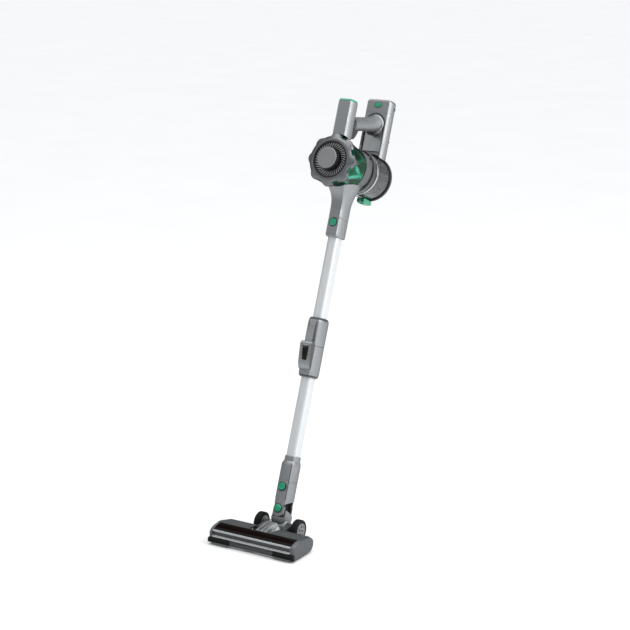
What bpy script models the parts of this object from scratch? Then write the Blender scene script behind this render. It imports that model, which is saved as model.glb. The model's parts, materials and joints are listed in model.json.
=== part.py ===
"""A cordless stick vacuum: floor head, folding wand, motor unit, dust cup and battery.

Sizes are in millimetres, and every mesh is scaled to metres when its object is made.
The floor frame has X across the floor head, Y backwards to the user and Z up, with its
origin on the floor under the tilt axle. The wand frame starts at that axle, with its Z
axis up along the wand, which leans back, and its Y axis square to it, to the rear.
The model's own origin is the middle of the hand grip.
"""

import math

import bmesh
import bpy
from mathutils import Matrix, Vector

MM = 0.001
GAP = 0.3                   # between pieces that touch or run in each other

# Driving dimensions of the stance
LEAN = 21.11                # degrees that the wand leans back
AXLE_HEIGHT = 25.0          # tilt axle and wheel axle above the floor
GRIP_MIDDLE = (10.0, 964.0)  # middle of the grip in the wand frame, (Y, Z)

# Floor head
HEAD_HALF = 115.5           # half the width over the end caps
CAP_THICK = 10.0
HEAD_INNER = HEAD_HALF - CAP_THICK - GAP
BRUSH_Y, BRUSH_Z = -97.0, 18.7
BRUSH_RADIUS = 16.8
CORE_RADIUS = 11.0
CHAMBER_RADIUS = 18.6
CHAMBER_WALL = 2.2
DRIVE_Y, DRIVE_Z = -56.0, 19.5
DRIVE_RADIUS = 12.0
BELT_X = -101.0             # middle of the toothed belt
DUCT_RADIUS = 11.0
DUCT_Z = 23.0
WHEEL_RADIUS = 25.0
WHEEL_INNER, WHEEL_OUTER = 42.0, 59.0
PIN_RADIUS = 3.0            # stub axles of the tilt joint and the wheels

# Neck between head and wand
BARREL_RADIUS = 17.0
BARREL_HALF = 22.0
SWING_Z = 41.0              # swing pivot up the wand from the tilt axle
NECK_HALF_X, NECK_HALF_Y, NECK_CORNER = 18.5, 25.0, 12.0
EAR_THICK = 6.0
PIVOT_RADIUS = 5.0          # swing pivot between the ears
DUCT_BORE = 12.0            # air way through the knuckle and the connector
CONNECTOR_START, CONNECTOR_SEAM, CONNECTOR_END = 60.0, 104.0, 155.0
COLLAR_END = 164.5
BUTTON_RADIUS = 9.0
BUTTON_PROUD = 3.2
HEAD_BUTTON_Z = 92.0
WAND_BUTTON_Z = 720.0

# Wand
TUBE_HALF_X, TUBE_HALF_Y, TUBE_CORNER = 13.5, 17.5, 10.5
TUBE_WALL = 1.2
LOWER_TUBE = (118.0, 398.0)
UPPER_TUBE = (455.0, 732.0)
FOLD_START, FOLD_SEAM, FOLD_END = 351.0, 426.0, 493.0
FOLD_HALF_X, FOLD_HALF_Y, FOLD_CORNER = 20.7, 25.3, 13.0
FOLD_PIN_Y, FOLD_PIN_Z = -33.5, 427.0
FOLD_EAR_RADIUS = 6.8
FOLD_PIN_RADIUS = 2.5
FOLD_BUTTON_Z = 402.0
FOLD_WALL = 3.2
BUMP_HALF = 15.5
BUMP_FRONT = -40.0
KNUCKLE_HALF = 8.6

# Motor unit, whose parts are turned about an axis across the wand
BODY_Z = 855.0
SOCKET_START, SOCKET_SEAM = 686.0, 730.0
SOCKET_HALF_X, SOCKET_HALF_Y, SOCKET_CORNER = 19.5, 24.0, 12.0
SHELL_FRONT, SHELL_REAR = -76.0, -8.5
SHELL_FRONT_RADIUS, SHELL_REAR_RADIUS = 55.5, 50.0
COLLAR_FRONT = -92.0
LOBES = 8
GRILLE_RADIUS = 42.6
GRILLE_SLOTS = 24
DISC_FRONT, DISC_RADIUS = -109.0, 25.6
RING_REAR, RING_RADIUS = 27.7, 49.0
CUP_FRONT, CUP_REAR = 28.0, 113.0
CUP_RADIUS, CUP_WALL = 51.5, 2.0
LID_REAR, LID_RADIUS = 123.0, 55.2
HINGE_Y, HINGE_Z = 118.5, 911.0

# Handle
UPRIGHT_HALF_X, UPRIGHT_FRONT, UPRIGHT_REAR = 20.5, -76.0, -37.0
UPRIGHT_TOP = 1004.5
GRIP_FRONT, GRIP_REAR = (-37.0, 953.0), (80.0, 982.0)
GRIP_RADIUS = 16.5
BATTERY_HALF_X, BATTERY_FRONT, BATTERY_REAR = 35.0, 81.0, 114.0
BATTERY_TOP = 1045.0
BATTERY_BUTTON_Z = 1030.5
SADDLE_RADIUS = 57.0
DOCK_RADIUS = 25.0


# ---------------------------------------------------------------- shapes
def section(half_x, half_y, corner, z, y=0.0, steps=3):
    """A rounded rectangle at height z, anticlockwise."""
    corner = min(corner, half_x - 0.05, half_y - 0.05)
    points = []
    for quarter, (side_x, side_y) in enumerate(((1, 1), (-1, 1), (-1, -1), (1, -1))):
        for step in range(steps + 1):
            angle = math.radians(90 * (quarter + step / steps))
            across = side_x * (half_x - corner) + corner * math.cos(angle)
            along = side_y * (half_y - corner) + corner * math.sin(angle)
            points.append(Vector((across, y + along, z)))
    return points


def arc(centre_y, centre_z, radius, start, end, steps=8):
    """Points (y, z) on an arc; angles in degrees from +Y towards +Z."""
    points = []
    for step in range(steps + 1):
        angle = math.radians(start + (end - start) * step / steps)
        points.append((centre_y + radius * math.cos(angle), centre_z + radius * math.sin(angle)))
    return points


def loft(rings, closed=False):
    """Skin a row of equal rings. A closed row joins its ends, an open one is capped."""
    mesh = bmesh.new()
    rows = [[mesh.verts.new(point) for point in ring] for ring in rings]
    pairs = list(zip(rows, rows[1:]))
    if closed:
        pairs.append((rows[-1], rows[0]))
    count = len(rows[0])
    for low, high in pairs:
        for i in range(count):
            j = (i + 1) % count
            mesh.faces.new((low[i], low[j], high[j], high[i]))
    if not closed:
        mesh.faces.new(list(reversed(rows[0])))
        mesh.faces.new(rows[-1])
    return mesh


def extrude(outline, start, end):
    """A (y, z) outline carried along X from start to end."""
    return loft([[Vector((x, y, z)) for y, z in outline] for x in (start, end)])


def extrude_y(outline, start, end):
    """An (x, z) outline carried along Y from start to end."""
    return loft([[Vector((x, y, z)) for x, z in outline] for y in (start, end)])


def turned(profile, steps=28):
    """A closed (radius, z) profile turned about Z."""
    mesh = bmesh.new()
    angles = [math.tau * step / steps for step in range(steps)]
    rows = []
    for radius, z in profile:
        if radius == 0:
            rows.append([mesh.verts.new((0, 0, z))])
        else:
            ring = [(radius * math.cos(a), radius * math.sin(a), z) for a in angles]
            rows.append([mesh.verts.new(point) for point in ring])
    for low, high in zip(rows, rows[1:] + rows[:1]):
        if len(low) == 1 and len(high) == 1:
            continue
        for i in range(steps):
            j = (i + 1) % steps
            corners = [low[i % len(low)], low[j % len(low)]]
            corners += [high[j % len(high)], high[i % len(high)]]
            mesh.faces.new(list(dict.fromkeys(corners)))
    return mesh


def cylinder(radius, start, end, steps=20):
    return turned([(0, start), (radius, start), (radius, end), (0, end)], steps)


def pipe(radius, bore, start, end, steps=28):
    return turned([(radius, start), (radius, end), (bore, end), (bore, start)], steps)


def box(half_x, y, z):
    """A block across the middle, from y[0] to y[1] and z[0] to z[1]."""
    return extrude([(y[0], z[0]), (y[1], z[0]), (y[1], z[1]), (y[0], z[1])], -half_x, half_x)


TO_X = Matrix.Rotation(math.radians(90), 4, "Y")
TO_Y = Matrix.Rotation(math.radians(-90), 4, "X")


def along_x(mesh, y, z, x=0.0):
    """Turn a Z-axis shape to lie along +X through (x, y, z)."""
    mesh.transform(Matrix.Translation((x, y, z)) @ TO_X)
    return mesh


def along_y(mesh, x, z, y=0.0):
    """Turn a Z-axis shape to lie along +Y through (x, y, z)."""
    mesh.transform(Matrix.Translation((x, y, z)) @ TO_Y)
    return mesh


def moved(mesh, x=0.0, y=0.0, z=0.0):
    mesh.transform(Matrix.Translation((x, y, z)))
    return mesh


def helper_object(mesh):
    bmesh.ops.recalc_face_normals(mesh, faces=mesh.faces)
    data = bpy.data.meshes.new("helper")
    mesh.to_mesh(data)
    mesh.free()
    helper = bpy.data.objects.new("helper", data)
    bpy.context.collection.objects.link(helper)
    return helper


def combine(base, tool, operation):
    """The Boolean of two closed meshes, as a new mesh."""
    first, second = helper_object(base), helper_object(tool)
    modifier = first.modifiers.new("combine", "BOOLEAN")
    modifier.operation = operation
    modifier.object = second
    bpy.context.view_layer.update()
    graph = bpy.context.evaluated_depsgraph_get()
    result = bmesh.new()
    result.from_mesh(first.evaluated_get(graph).to_mesh())
    for helper in (first, second):
        data = helper.data
        bpy.data.objects.remove(helper)
        bpy.data.meshes.remove(data)
    return result


def cut(base, *tools):
    for tool in tools:
        base = combine(base, tool, "DIFFERENCE")
    return base


def join(base, *tools):
    for tool in tools:
        base = combine(base, tool, "UNION")
    return base


def overlap(base, tool):
    return combine(base, tool, "INTERSECT")


# ---------------------------------------------------------------- scene
def clear_scene():
    for thing in list(bpy.data.objects):
        bpy.data.objects.remove(thing)


def finish_of(name, colour, roughness, metallic=0.0):
    material = bpy.data.materials.new(name)
    material.use_nodes = True
    shader = material.node_tree.nodes["Principled BSDF"]
    shader.inputs["Base Color"].default_value = (*colour, 1.0)
    shader.inputs["Roughness"].default_value = roughness
    shader.inputs["Metallic"].default_value = metallic
    return material


def frame_at(name, parent, location, lean=0.0):
    """An empty at a location in millimetres, turned back about X by lean degrees."""
    empty = bpy.data.objects.new(name, None)
    bpy.context.collection.objects.link(empty)
    empty.parent = parent
    empty.location = [MM * value for value in location]
    empty.rotation_euler = (-math.radians(lean), 0, 0)
    return empty


def axis_at(name, frame, y, z):
    """An empty on a joint's axis, whose pieces keep the coordinates of its frame."""
    return frame_at(name, frame, (0, y, z))


def add(name, mesh, finish, parent, smooth=40):
    """Make a mesh in its frame's coordinates into an object of that frame or of its axis."""
    bmesh.ops.recalc_face_normals(mesh, faces=mesh.faces)
    mesh.transform(Matrix.Scale(MM, 4))
    data = bpy.data.meshes.new(name)
    mesh.to_mesh(data)
    mesh.free()
    data.shade_smooth()
    data.set_sharp_from_angle(angle=math.radians(smooth))
    data.materials.append(FINISHES[finish])
    piece = bpy.data.objects.new(name, data)
    bpy.context.collection.objects.link(piece)
    piece.parent = parent
    if parent not in FRAMES.values():
        piece.location = -parent.location
    return piece


def set_up():
    clear_scene()
    looks = {
        "gunmetal_plastic": ((0.20, 0.21, 0.215), 0.38, 0.35),
        "charcoal_plastic": ((0.045, 0.048, 0.05), 0.45, 0.1),
        "black_plastic": ((0.012, 0.012, 0.013), 0.4, 0.0),
        "black_rubber": ((0.010, 0.010, 0.010), 0.75, 0.0),
        "green_plastic": ((0.012, 0.32, 0.16), 0.35, 0.0),
        "green_metallic": ((0.010, 0.13, 0.075), 0.22, 0.7),
        "satin_aluminium": ((0.66, 0.69, 0.70), 0.32, 0.75),
        "silver_plastic": ((0.36, 0.38, 0.385), 0.32, 0.4),
        "smoke_clear": ((0.10, 0.105, 0.11), 0.08, 0.0),
        "steel": ((0.55, 0.56, 0.57), 0.3, 1.0),
        "bristle_red": ((0.16, 0.015, 0.015), 0.8, 0.0),
        "filter_white": ((0.72, 0.72, 0.68), 0.9, 0.0),
        "cell_blue": ((0.03, 0.09, 0.25), 0.35, 0.0),
    }
    for name, look in looks.items():
        FINISHES[name] = finish_of(name, *look)
    lean = math.radians(LEAN)
    grip_y, grip_z = GRIP_MIDDLE
    floor_y = -(grip_y * math.cos(lean) + grip_z * math.sin(lean))
    floor_z = -(AXLE_HEIGHT - grip_y * math.sin(lean) + grip_z * math.cos(lean))
    FRAMES["floor"] = frame_at("floor_frame", None, (0, floor_y, floor_z))
    FRAMES["wand"] = frame_at("wand_frame", FRAMES["floor"], (0, 0, AXLE_HEIGHT), LEAN)
    AXES["tilt"] = axis_at("tilt_axis", FRAMES["floor"], 0, AXLE_HEIGHT)
    AXES["swing"] = axis_at("swing_axis", FRAMES["wand"], 0, SWING_Z)
    AXES["fold"] = axis_at("fold_axis", FRAMES["wand"], FOLD_PIN_Y, FOLD_PIN_Z)


FINISHES = {}
FRAMES = {}
AXES = {}                   # of the joints that carry more than one group of pieces


# ---------------------------------------------------------------- floor head
def cap_outline(inset):
    """The end cap's side view, shrunk by inset for the rounded outer edge."""
    front = -124.3 + inset * 1.3
    low, top = 1.3 + inset * 0.6, 42.3 - inset
    outline = [(front + 5, low), (-60, low)] + arc(-54, 20.5, 19.2 - inset, -90, 0, 6)
    outline += arc(-48.5, 21, 14 - inset, 12, 80, 4)
    outline += [(-60, top - 4.8), (-86, top), (-100, top - 0.5), (-111, top - 3.2), (front + 5, top - 7)]
    outline += [(front + 1.3, top - 11), (front, 26), (front + 0.6, 19), (front + 3, 17.2), (front + 5, 17)]
    return outline


def end_cap(side):
    """A cap whose outer edge is rounded in three steps, with a blind hole for the brush hub."""
    rows = []
    for inset, reach in ((0, -CAP_THICK), (0, -6), (1.6, -2), (4.5, 0)):
        x = side * (HEAD_HALF + reach)
        rows.append([Vector((x, y, z)) for y, z in cap_outline(inset)])
    hub_hole = along_x(cylinder(4.3, -4, 4), BRUSH_Y, BRUSH_Z, side * (HEAD_HALF - CAP_THICK))
    return cut(loft(rows), hub_hole)


def build_head():
    tilt_axis = AXES["tilt"]
    half = HEAD_INNER
    outer = CHAMBER_RADIUS + CHAMBER_WALL
    bottom, plate = 2.5, 5.0

    outline = [(-80.2, bottom), (-54, bottom), (-44, 4.5), (-36.5, 9.5), (-33, 16), (-33, 23)]
    outline += [(-35.5, 29.5)]
    outline += [(-37.7, 28.6), (-35.4, 22.5), (-35.4, 16.5), (-38.4, 11.2), (-45, 7), (-54.3, plate)]
    outline += [(-77.5, plate)] + arc(BRUSH_Y, BRUSH_Z, outer, -35, 66, 9)
    outline += arc(BRUSH_Y, BRUSH_Z, CHAMBER_RADIUS, 66, -35, 9)
    duct_hole = along_y(cylinder(DUCT_RADIUS - 0.6, 0, 20), 0, DUCT_Z - 1, -86)
    yoke_slot = box(37.8, (-48, -25), (3.6, 45))
    belt_slot = extrude([(-82, 6), (-70, 6), (-70, 32), (-82, 32)], BELT_X - 3.5, BELT_X + 3.5)
    chassis = cut(extrude(outline, -half, half), duct_hole, yoke_slot, belt_slot)
    add("head_chassis", chassis, "charcoal_plastic", tilt_axis)

    cover = [(-88.5, 42), (-60, 40), (-46, 37), (-39, 33.2), (-36.2, 30.2), (-38.6, 30.4), (-41, 32)]
    cover += [(-47.5, 34.8), (-60.5, 37.6), (-88.5, 39.6)]
    nose_slot = box(29.3, (-86.5, -30), (25, 50))
    yoke_gap = box(37.8, (-48, -30), (25, 50))
    cover = cut(extrude(cover, -half, half), nose_slot, yoke_gap)
    add("head_top_cover", cover, "charcoal_plastic", tilt_axis)

    window = [(-88.8, 42), (-100, 41.2), (-110, 38.6), (-116.8, 35.4)]
    window += [(-116.8, 33.4), (-109.3, 36.6), (-99.5, 39.1), (-88.8, 39.7)]
    add("roller_window", extrude(window, -half, half), "smoke_clear", tilt_axis)

    front = [(-117.3, 35.6), (-119.5, 35.9), (-121.3, 34.3), (-121.3, 32), (-119.4, 31), (-119.4, 24)]
    front += [(-121.8, 23.6), (-123.7, 22), (-123.9, 19.2), (-122, 17.5), (-119.6, 17.2), (-119.6, 4.4)]
    front += [(-121.8, 4.2), (-122, 1.4), (-113, 1.2), (-112.3, 3.2), (-117.2, 5), (-117.3, 33)]
    lip_gap = box(12.5, (-124, -110), (0, 3.4))
    add("front_frame", cut(extrude(front, -half, half), lip_gap), "silver_plastic", tilt_axis)

    bumper = [(-119.9, 4.8), (-124, 4.8), (-127, 7), (-127.6, 10.6), (-127, 14.2), (-124, 16.8)]
    bumper += [(-119.9, 16.8)]
    add("front_bumper_left", extrude(bumper, -HEAD_HALF, -60.5), "black_rubber", tilt_axis)
    add("front_bumper_right", extrude(bumper, 60.5, HEAD_HALF), "black_rubber", tilt_axis)
    flap = [(-119.9, 4.8), (-121.6, 4.8), (-123, 8), (-123, 13), (-121.6, 16.8), (-119.9, 16.8)]
    add("front_flap", extrude(flap, -60.1, 60.1), "charcoal_plastic", tilt_axis)

    for side, name in ((-1, "end_cap_left"), (1, "end_cap_right")):
        add(name, end_cap(side), "gunmetal_plastic", tilt_axis)
    add("nose_cover", nose_shape(), "silver_plastic", tilt_axis, 20)


def nose_shape():
    """The faceted hood over the duct, hollowed for the brush chamber and the duct."""
    rows = []
    for y, low, high, wide, crown in (
        (-86, 39.3, 42.2, 13, 9),
        (-80, 22.5, 43.6, 17, 10),
        (-60, 9.5, 46, 23, 11),
        (-40, 9.5, 47.5, 28, 13),
        (-32.4, 11, 46.5, 22.2, 13),
        (-20.5, 14, 36, 21.5, 12),
    ):
        shoulder = low + (high - low) * 0.55
        half_outline = [(wide, low), (wide, shoulder), (crown, high)]
        outline = half_outline + [(-x, z) for x, z in reversed(half_outline)]
        rows.append([Vector((x, y, z)) for x, z in outline])
    chamber = along_x(cylinder(CHAMBER_RADIUS + CHAMBER_WALL + GAP, -40, 40, 40), BRUSH_Y, BRUSH_Z)
    duct = along_y(cylinder(DUCT_RADIUS, 0, 74), 0, DUCT_Z, -90)
    return cut(loft(rows), chamber, duct)


def mirrored(mesh, axis):
    """The mirror image of a shape across the plane square to an axis."""
    mesh.transform(Matrix.Scale(-1, 4, axis))
    return mesh


def build_wheels():
    tilt_axis = AXES["tilt"]
    lug = [(-31.5, 10)] + arc(0, AXLE_HEIGHT, 10.5, -80, 90, 8) + [(-31.5, 33)]
    left, right = extrude(lug, -36.5, -22.6), extrude(lug, 22.6, 36.5)
    bridge = box(36.5, (-47, -26), (5.6, 9.2))
    yoke = join(left, right, bridge)
    for side in (-1, 1):
        lift = extrude([(-46.5, 6), (-30, 6), (-30, 33), (-46.5, 33)], side * 29.6, side * 36.5)
        stub = along_x(cylinder(PIN_RADIUS, 19.5, WHEEL_OUTER - 0.5), 0, AXLE_HEIGHT)
        if side < 0:
            stub = mirrored(stub, (1, 0, 0))
        yoke = join(yoke, lift, stub)
    add("wheel_yoke", yoke, "charcoal_plastic", tilt_axis)

    for side, word in ((-1, "left"), (1, "right")):
        wheel_axis = axis_at("wheel_axis_" + word, FRAMES["floor"], 0, AXLE_HEIGHT)
        middle = side * (WHEEL_INNER + WHEEL_OUTER) / 2
        wide = (WHEEL_OUTER - WHEEL_INNER) / 2
        tyre = turned([(17.6, -wide), (20.5, -wide), (WHEEL_RADIUS, 3 - wide), (WHEEL_RADIUS, wide - 3),
                       (20.5, wide), (17.6, wide)], 36)
        add("wheel_tyre_" + word, along_x(tyre, 0, AXLE_HEIGHT, middle), "black_rubber", wheel_axis)
        hub = turned([(PIN_RADIUS + GAP, -wide), (17.3, -wide), (17.3, wide - 1), (12, wide + 1.5),
                      (PIN_RADIUS + GAP, wide + 2)], 32)
        if side < 0:
            hub = mirrored(hub, (0, 0, 1))
        add("wheel_hub_" + word, along_x(hub, 0, AXLE_HEIGHT, middle), "silver_plastic", wheel_axis)


def drive_loop():
    """The closed loop round both pulleys, as an outer and an inner racetrack."""
    rings = []
    for radius, x in ((10.2, -2.5), (10.2, 2.5), (9, 2.5), (9, -2.5)):
        small = radius - 4
        fall = math.degrees(math.asin((DRIVE_Z - BRUSH_Z) / (DRIVE_Y - BRUSH_Y)))
        spread = math.degrees(math.asin((radius - small) / (DRIVE_Y - BRUSH_Y)))
        loop = arc(BRUSH_Y, BRUSH_Z, radius, 90 + fall - spread, 270 + fall + spread, 12)
        loop += arc(DRIVE_Y, DRIVE_Z, small, -90 + fall + spread, 90 + fall - spread, 8)
        rings.append([Vector((BELT_X + x, y, z)) for y, z in loop])
    return loft(rings, closed=True)


def bristle_sleeve():
    """A sleeve round the core, whose four rows of bristle wind along it."""
    rows, turns, teeth = 14, 0.75, 4
    start, end = -94.0, 103.0
    bore = CORE_RADIUS + 0.7
    outer, inner = [], []
    for row in range(rows + 1):
        along = row / rows
        x = start + (end - start) * along
        tuft, lining = [], []
        for step in range(teeth * 4):
            angle = math.tau * (step / (teeth * 4) + turns * along)
            reach = BRUSH_RADIUS if step % 4 in (0, 1) else CORE_RADIUS + 1.7
            for radius, ring in ((reach, tuft), (bore, lining)):
                y = BRUSH_Y + radius * math.cos(angle)
                z = BRUSH_Z + radius * math.sin(angle)
                ring.append(Vector((x, y, z)))
        outer.append(tuft)
        inner.insert(0, lining)
    return loft(outer + inner, closed=True)


def build_brush():
    frame = FRAMES["floor"]
    brush_axis = axis_at("brush_axis", frame, BRUSH_Y, BRUSH_Z)
    core = turned([(0, -108.5), (4, -108.5), (4, BELT_X - 3), (8.7, BELT_X - 3), (8.7, BELT_X + 3),
                   (4, BELT_X + 3), (4, -96), (CORE_RADIUS, -96), (CORE_RADIUS, 103.5), (4, 103.5),
                   (4, 108.5), (0, 108.5)], 28)
    add("brush_core", along_x(core, BRUSH_Y, BRUSH_Z), "charcoal_plastic", brush_axis)

    add("brush_bristles", bristle_sleeve(), "bristle_red", brush_axis)

    add("drive_belt", drive_loop(), "black_rubber", AXES["tilt"])

    drive_axis = axis_at("drive_axis", frame, DRIVE_Y, DRIVE_Z)
    rotor = turned([(0, -3), (4.7, -3), (4.7, 3), (1.6, 3), (1.6, 12), (0, 12)], 20)
    add("motor_pulley", along_x(rotor, DRIVE_Y, DRIVE_Z, BELT_X), "steel", drive_axis)
    can = turned([(2, 3), (DRIVE_RADIUS, 3), (DRIVE_RADIUS, 60), (2, 60)], 28)
    add("brush_motor", along_x(can, DRIVE_Y, DRIVE_Z, BELT_X + 4), "steel", AXES["tilt"])


# ---------------------------------------------------------------- neck
def neck_section(inset, z):
    return section(NECK_HALF_X - inset, NECK_HALF_Y - inset, NECK_CORNER - inset, z)


def build_knuckle():
    barrel = along_x(cylinder(BARREL_RADIUS, -BARREL_HALF, BARREL_HALF, 32), 0, 0)
    block = loft([section(18, 15, 8, 4), section(18.3, 24, 11, 17), section(18.3, 24.5, 11, 21.5)])
    knuckle = join(barrel, block)
    for side in (-1, 1):
        outline = [(x, SWING_Z + z) for x, z in arc(0, 0, 17, 0, 180, 12)] + [(-17, 15), (17, 15)]
        plate = extrude_y(outline, *sorted((side * 12.6, side * 18.6)))
        knuckle = join(knuckle, plate)
    pivot_bore = along_y(cylinder(PIVOT_RADIUS + GAP, -30, 30), 0, SWING_Z)
    hose_bore = cylinder(DUCT_BORE, -1, 60)
    duct = along_y(cylinder(DUCT_BORE, -30, 2), 0, 0)
    duct.transform(Matrix.Rotation(math.radians(LEAN), 4, "X"))
    axle_bore = along_x(cylinder(PIN_RADIUS + GAP, -30, 30), 0, 0)
    knuckle = cut(knuckle, pivot_bore, hose_bore, duct, axle_bore)
    add("tilt_knuckle", knuckle, "gunmetal_plastic", AXES["swing"])
    add("swing_hose", pipe(DUCT_BORE - 0.4, 10, 16, 66, 20), "black_rubber", AXES["fold"])


def build_connector():
    fold_axis = AXES["fold"]
    inset = 3.0
    shell = loft([neck_section(0, 10), neck_section(0, CONNECTOR_SEAM),
                  neck_section(inset, CONNECTOR_SEAM), neck_section(inset, 10)], closed=True)
    solid_end = loft([neck_section(0.4, 10.4), neck_section(0.4, CONNECTOR_START + 3)])
    shell = join(shell, solid_end)
    between = box(30, (EAR_THICK - NECK_HALF_Y, NECK_HALF_Y - EAR_THICK), (0, CONNECTOR_START))
    duct = cylinder(DUCT_BORE, CONNECTOR_START - 5, CONNECTOR_START + 10)
    below = [(x, SWING_Z - z) for x, z in arc(0, 0, NECK_HALF_X - 0.2, 0, 180, 12)]
    below = extrude_y([(30, SWING_Z)] + below + [(-30, SWING_Z), (-30, 0), (30, 0)], -40, 40)
    shell = cut(shell, between, duct, below)
    pivot_bore = along_y(cylinder(PIVOT_RADIUS + GAP, -30, 30), 0, SWING_Z)
    button_bore = along_y(cylinder(BUTTON_RADIUS + GAP, -30, -10), 0, HEAD_BUTTON_Z)
    add("connector_lower", cut(shell, pivot_bore, button_bore), "gunmetal_plastic", fold_axis)

    socket = loft([
        neck_section(0, CONNECTOR_SEAM + GAP), neck_section(0, 143), neck_section(2, 152),
        section(16.2, 20, 10.5, 153), section(16.2, 20, 10.5, COLLAR_END - 1.5),
        section(15.4, 19.2, 9.8, COLLAR_END), tube_section(GAP, COLLAR_END),
        tube_section(GAP, CONNECTOR_SEAM + 8), neck_section(inset, CONNECTOR_SEAM + 8),
        neck_section(inset, CONNECTOR_SEAM + GAP)], closed=True)
    add("connector_upper", socket, "gunmetal_plastic", fold_axis)

    front = NECK_HALF_Y
    add("pivot_cap_front", along_y(pivot_cap(), 0, SWING_Z, -front - 3.3), "green_plastic", fold_axis)
    cap = along_y(mirrored(pivot_cap(), (0, 0, 1)), 0, SWING_Z, front + 3.3)
    add("pivot_cap_rear", cap, "gunmetal_plastic", fold_axis)

    button_axis = axis_at("head_button_axis", FRAMES["wand"], -front, HEAD_BUTTON_Z)
    add("head_release_button", round_button(HEAD_BUTTON_Z, -front), "green_plastic", button_axis)


def pivot_cap():
    """A round cap with the half pivot that it carries into the ear and the knuckle."""
    return turned([(0, 0), (8, 0), (10, 1.2), (10, 3), (PIVOT_RADIUS, 3), (PIVOT_RADIUS, 15), (0, 15)], 28)


def round_button(z, face):
    """A domed push button in the front wall, with a flange behind the wall."""
    button = turned([(0, -BUTTON_PROUD), (6, -BUTTON_PROUD + 0.3), (BUTTON_RADIUS, -BUTTON_PROUD + 1.6),
                     (BUTTON_RADIUS, 4.4), (BUTTON_RADIUS + 0.9, 4.4), (BUTTON_RADIUS + 0.9, 6),
                     (0, 6)], 24)
    return along_y(button, 0, z, face)


# ---------------------------------------------------------------- wand
def tube_section(inset, z):
    """The wand tube's outline, grown by inset where that is positive."""
    return section(TUBE_HALF_X + inset, TUBE_HALF_Y + inset, TUBE_CORNER + inset, z)


def wand_tube(start, end):
    return loft([tube_section(0, start), tube_section(0, end),
                 tube_section(-TUBE_WALL, end), tube_section(-TUBE_WALL, start)], closed=True)


def fold_section(inset, z):
    return section(FOLD_HALF_X - inset, FOLD_HALF_Y - inset, FOLD_CORNER - inset, z)


def fold_bump():
    """The raised front of the lower fold housing, with two ears round the fold pin."""
    outline = [(-23, 368), (-27.5, 370), (-32, 377), (-34.5, 386), (BUMP_FRONT + 0.3, 421)]
    outline += arc(FOLD_PIN_Y, FOLD_PIN_Z, FOLD_EAR_RADIUS, 180, 0, 10)
    outline += [(FOLD_PIN_Y + FOLD_EAR_RADIUS, 425.6), (-23, 425.6)]
    bump = extrude(outline, -BUMP_HALF, BUMP_HALF)
    slot = box(KNUCKLE_HALF + GAP, (-45, -25.5), (FOLD_PIN_Z - FOLD_EAR_RADIUS - 0.6, 440))
    pocket = box(5.4, (-45, -30), (389.5, 418.3))
    pin_bore = along_x(cylinder(FOLD_PIN_RADIUS + GAP, -30, 30), FOLD_PIN_Y, FOLD_PIN_Z)
    return cut(bump, slot, pocket, pin_bore)


def build_wand():
    frame, fold_axis = FRAMES["wand"], AXES["fold"]
    add("lower_tube", wand_tube(*LOWER_TUBE), "satin_aluminium", fold_axis)
    lower = loft([
        fold_section(4, FOLD_START), fold_section(1, FOLD_START + 4), fold_section(0, FOLD_START + 9),
        fold_section(0, FOLD_SEAM - GAP), fold_section(FOLD_WALL, FOLD_SEAM - GAP),
        fold_section(FOLD_WALL, 402),
        tube_section(GAP, 402), tube_section(GAP, FOLD_START)], closed=True)
    add("fold_lower_housing", join(lower, fold_bump()), "gunmetal_plastic", fold_axis)

    upper = loft([
        fold_section(0, FOLD_SEAM + GAP), fold_section(0, FOLD_END - 9), fold_section(1, FOLD_END - 4),
        fold_section(4, FOLD_END), tube_section(GAP, FOLD_END), tube_section(GAP, 450),
        fold_section(FOLD_WALL, 450), fold_section(FOLD_WALL, FOLD_SEAM + GAP)], closed=True)
    knuckle = along_x(cylinder(FOLD_EAR_RADIUS - 0.2, -KNUCKLE_HALF, KNUCKLE_HALF), FOLD_PIN_Y, FOLD_PIN_Z)
    arm = [(-24, 429), (FOLD_PIN_Y - 2, 430), (FOLD_PIN_Y, 438), (-29, 462), (-26.5, 484), (-24, 485)]
    upper = join(upper, knuckle, extrude(arm, -KNUCKLE_HALF + 0.6, KNUCKLE_HALF - 0.6))
    pin_bore = along_x(cylinder(FOLD_PIN_RADIUS + GAP, -30, 30), FOLD_PIN_Y, FOLD_PIN_Z)
    add("fold_upper_housing", cut(upper, pin_bore), "gunmetal_plastic", frame)
    pin = along_x(cylinder(FOLD_PIN_RADIUS, -15.2, 15.2, 20), FOLD_PIN_Y, FOLD_PIN_Z)
    add("fold_pin", pin, "steel", fold_axis)
    add("fold_hose", pipe(11, 9.6, 403, 449, 20), "black_rubber", frame)

    button_axis = axis_at("fold_button_axis", frame, BUMP_FRONT, FOLD_BUTTON_Z)
    outline = [(-34, 390), (-34, 417.8), (-41.2, 417.8), (-40.5, 405), (-37.6, 390)]
    add("fold_release_button", extrude(outline, -5, 5), "black_plastic", button_axis)
    add("upper_tube", wand_tube(*UPPER_TUBE), "satin_aluminium", frame)


# ---------------------------------------------------------------- motor unit
def crosswise(mesh):
    """Lay a shape turned about Z along the motor unit's axis, its +Z to the rear."""
    return along_y(mesh, 0, BODY_Z)


def socket_section(inset, z, front=SOCKET_HALF_Y, rear=SOCKET_HALF_Y, wide=SOCKET_HALF_X):
    middle = (rear - front) / 2
    return section(wide - inset, (front + rear) / 2 - inset, SOCKET_CORNER - inset, z, middle)


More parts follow.
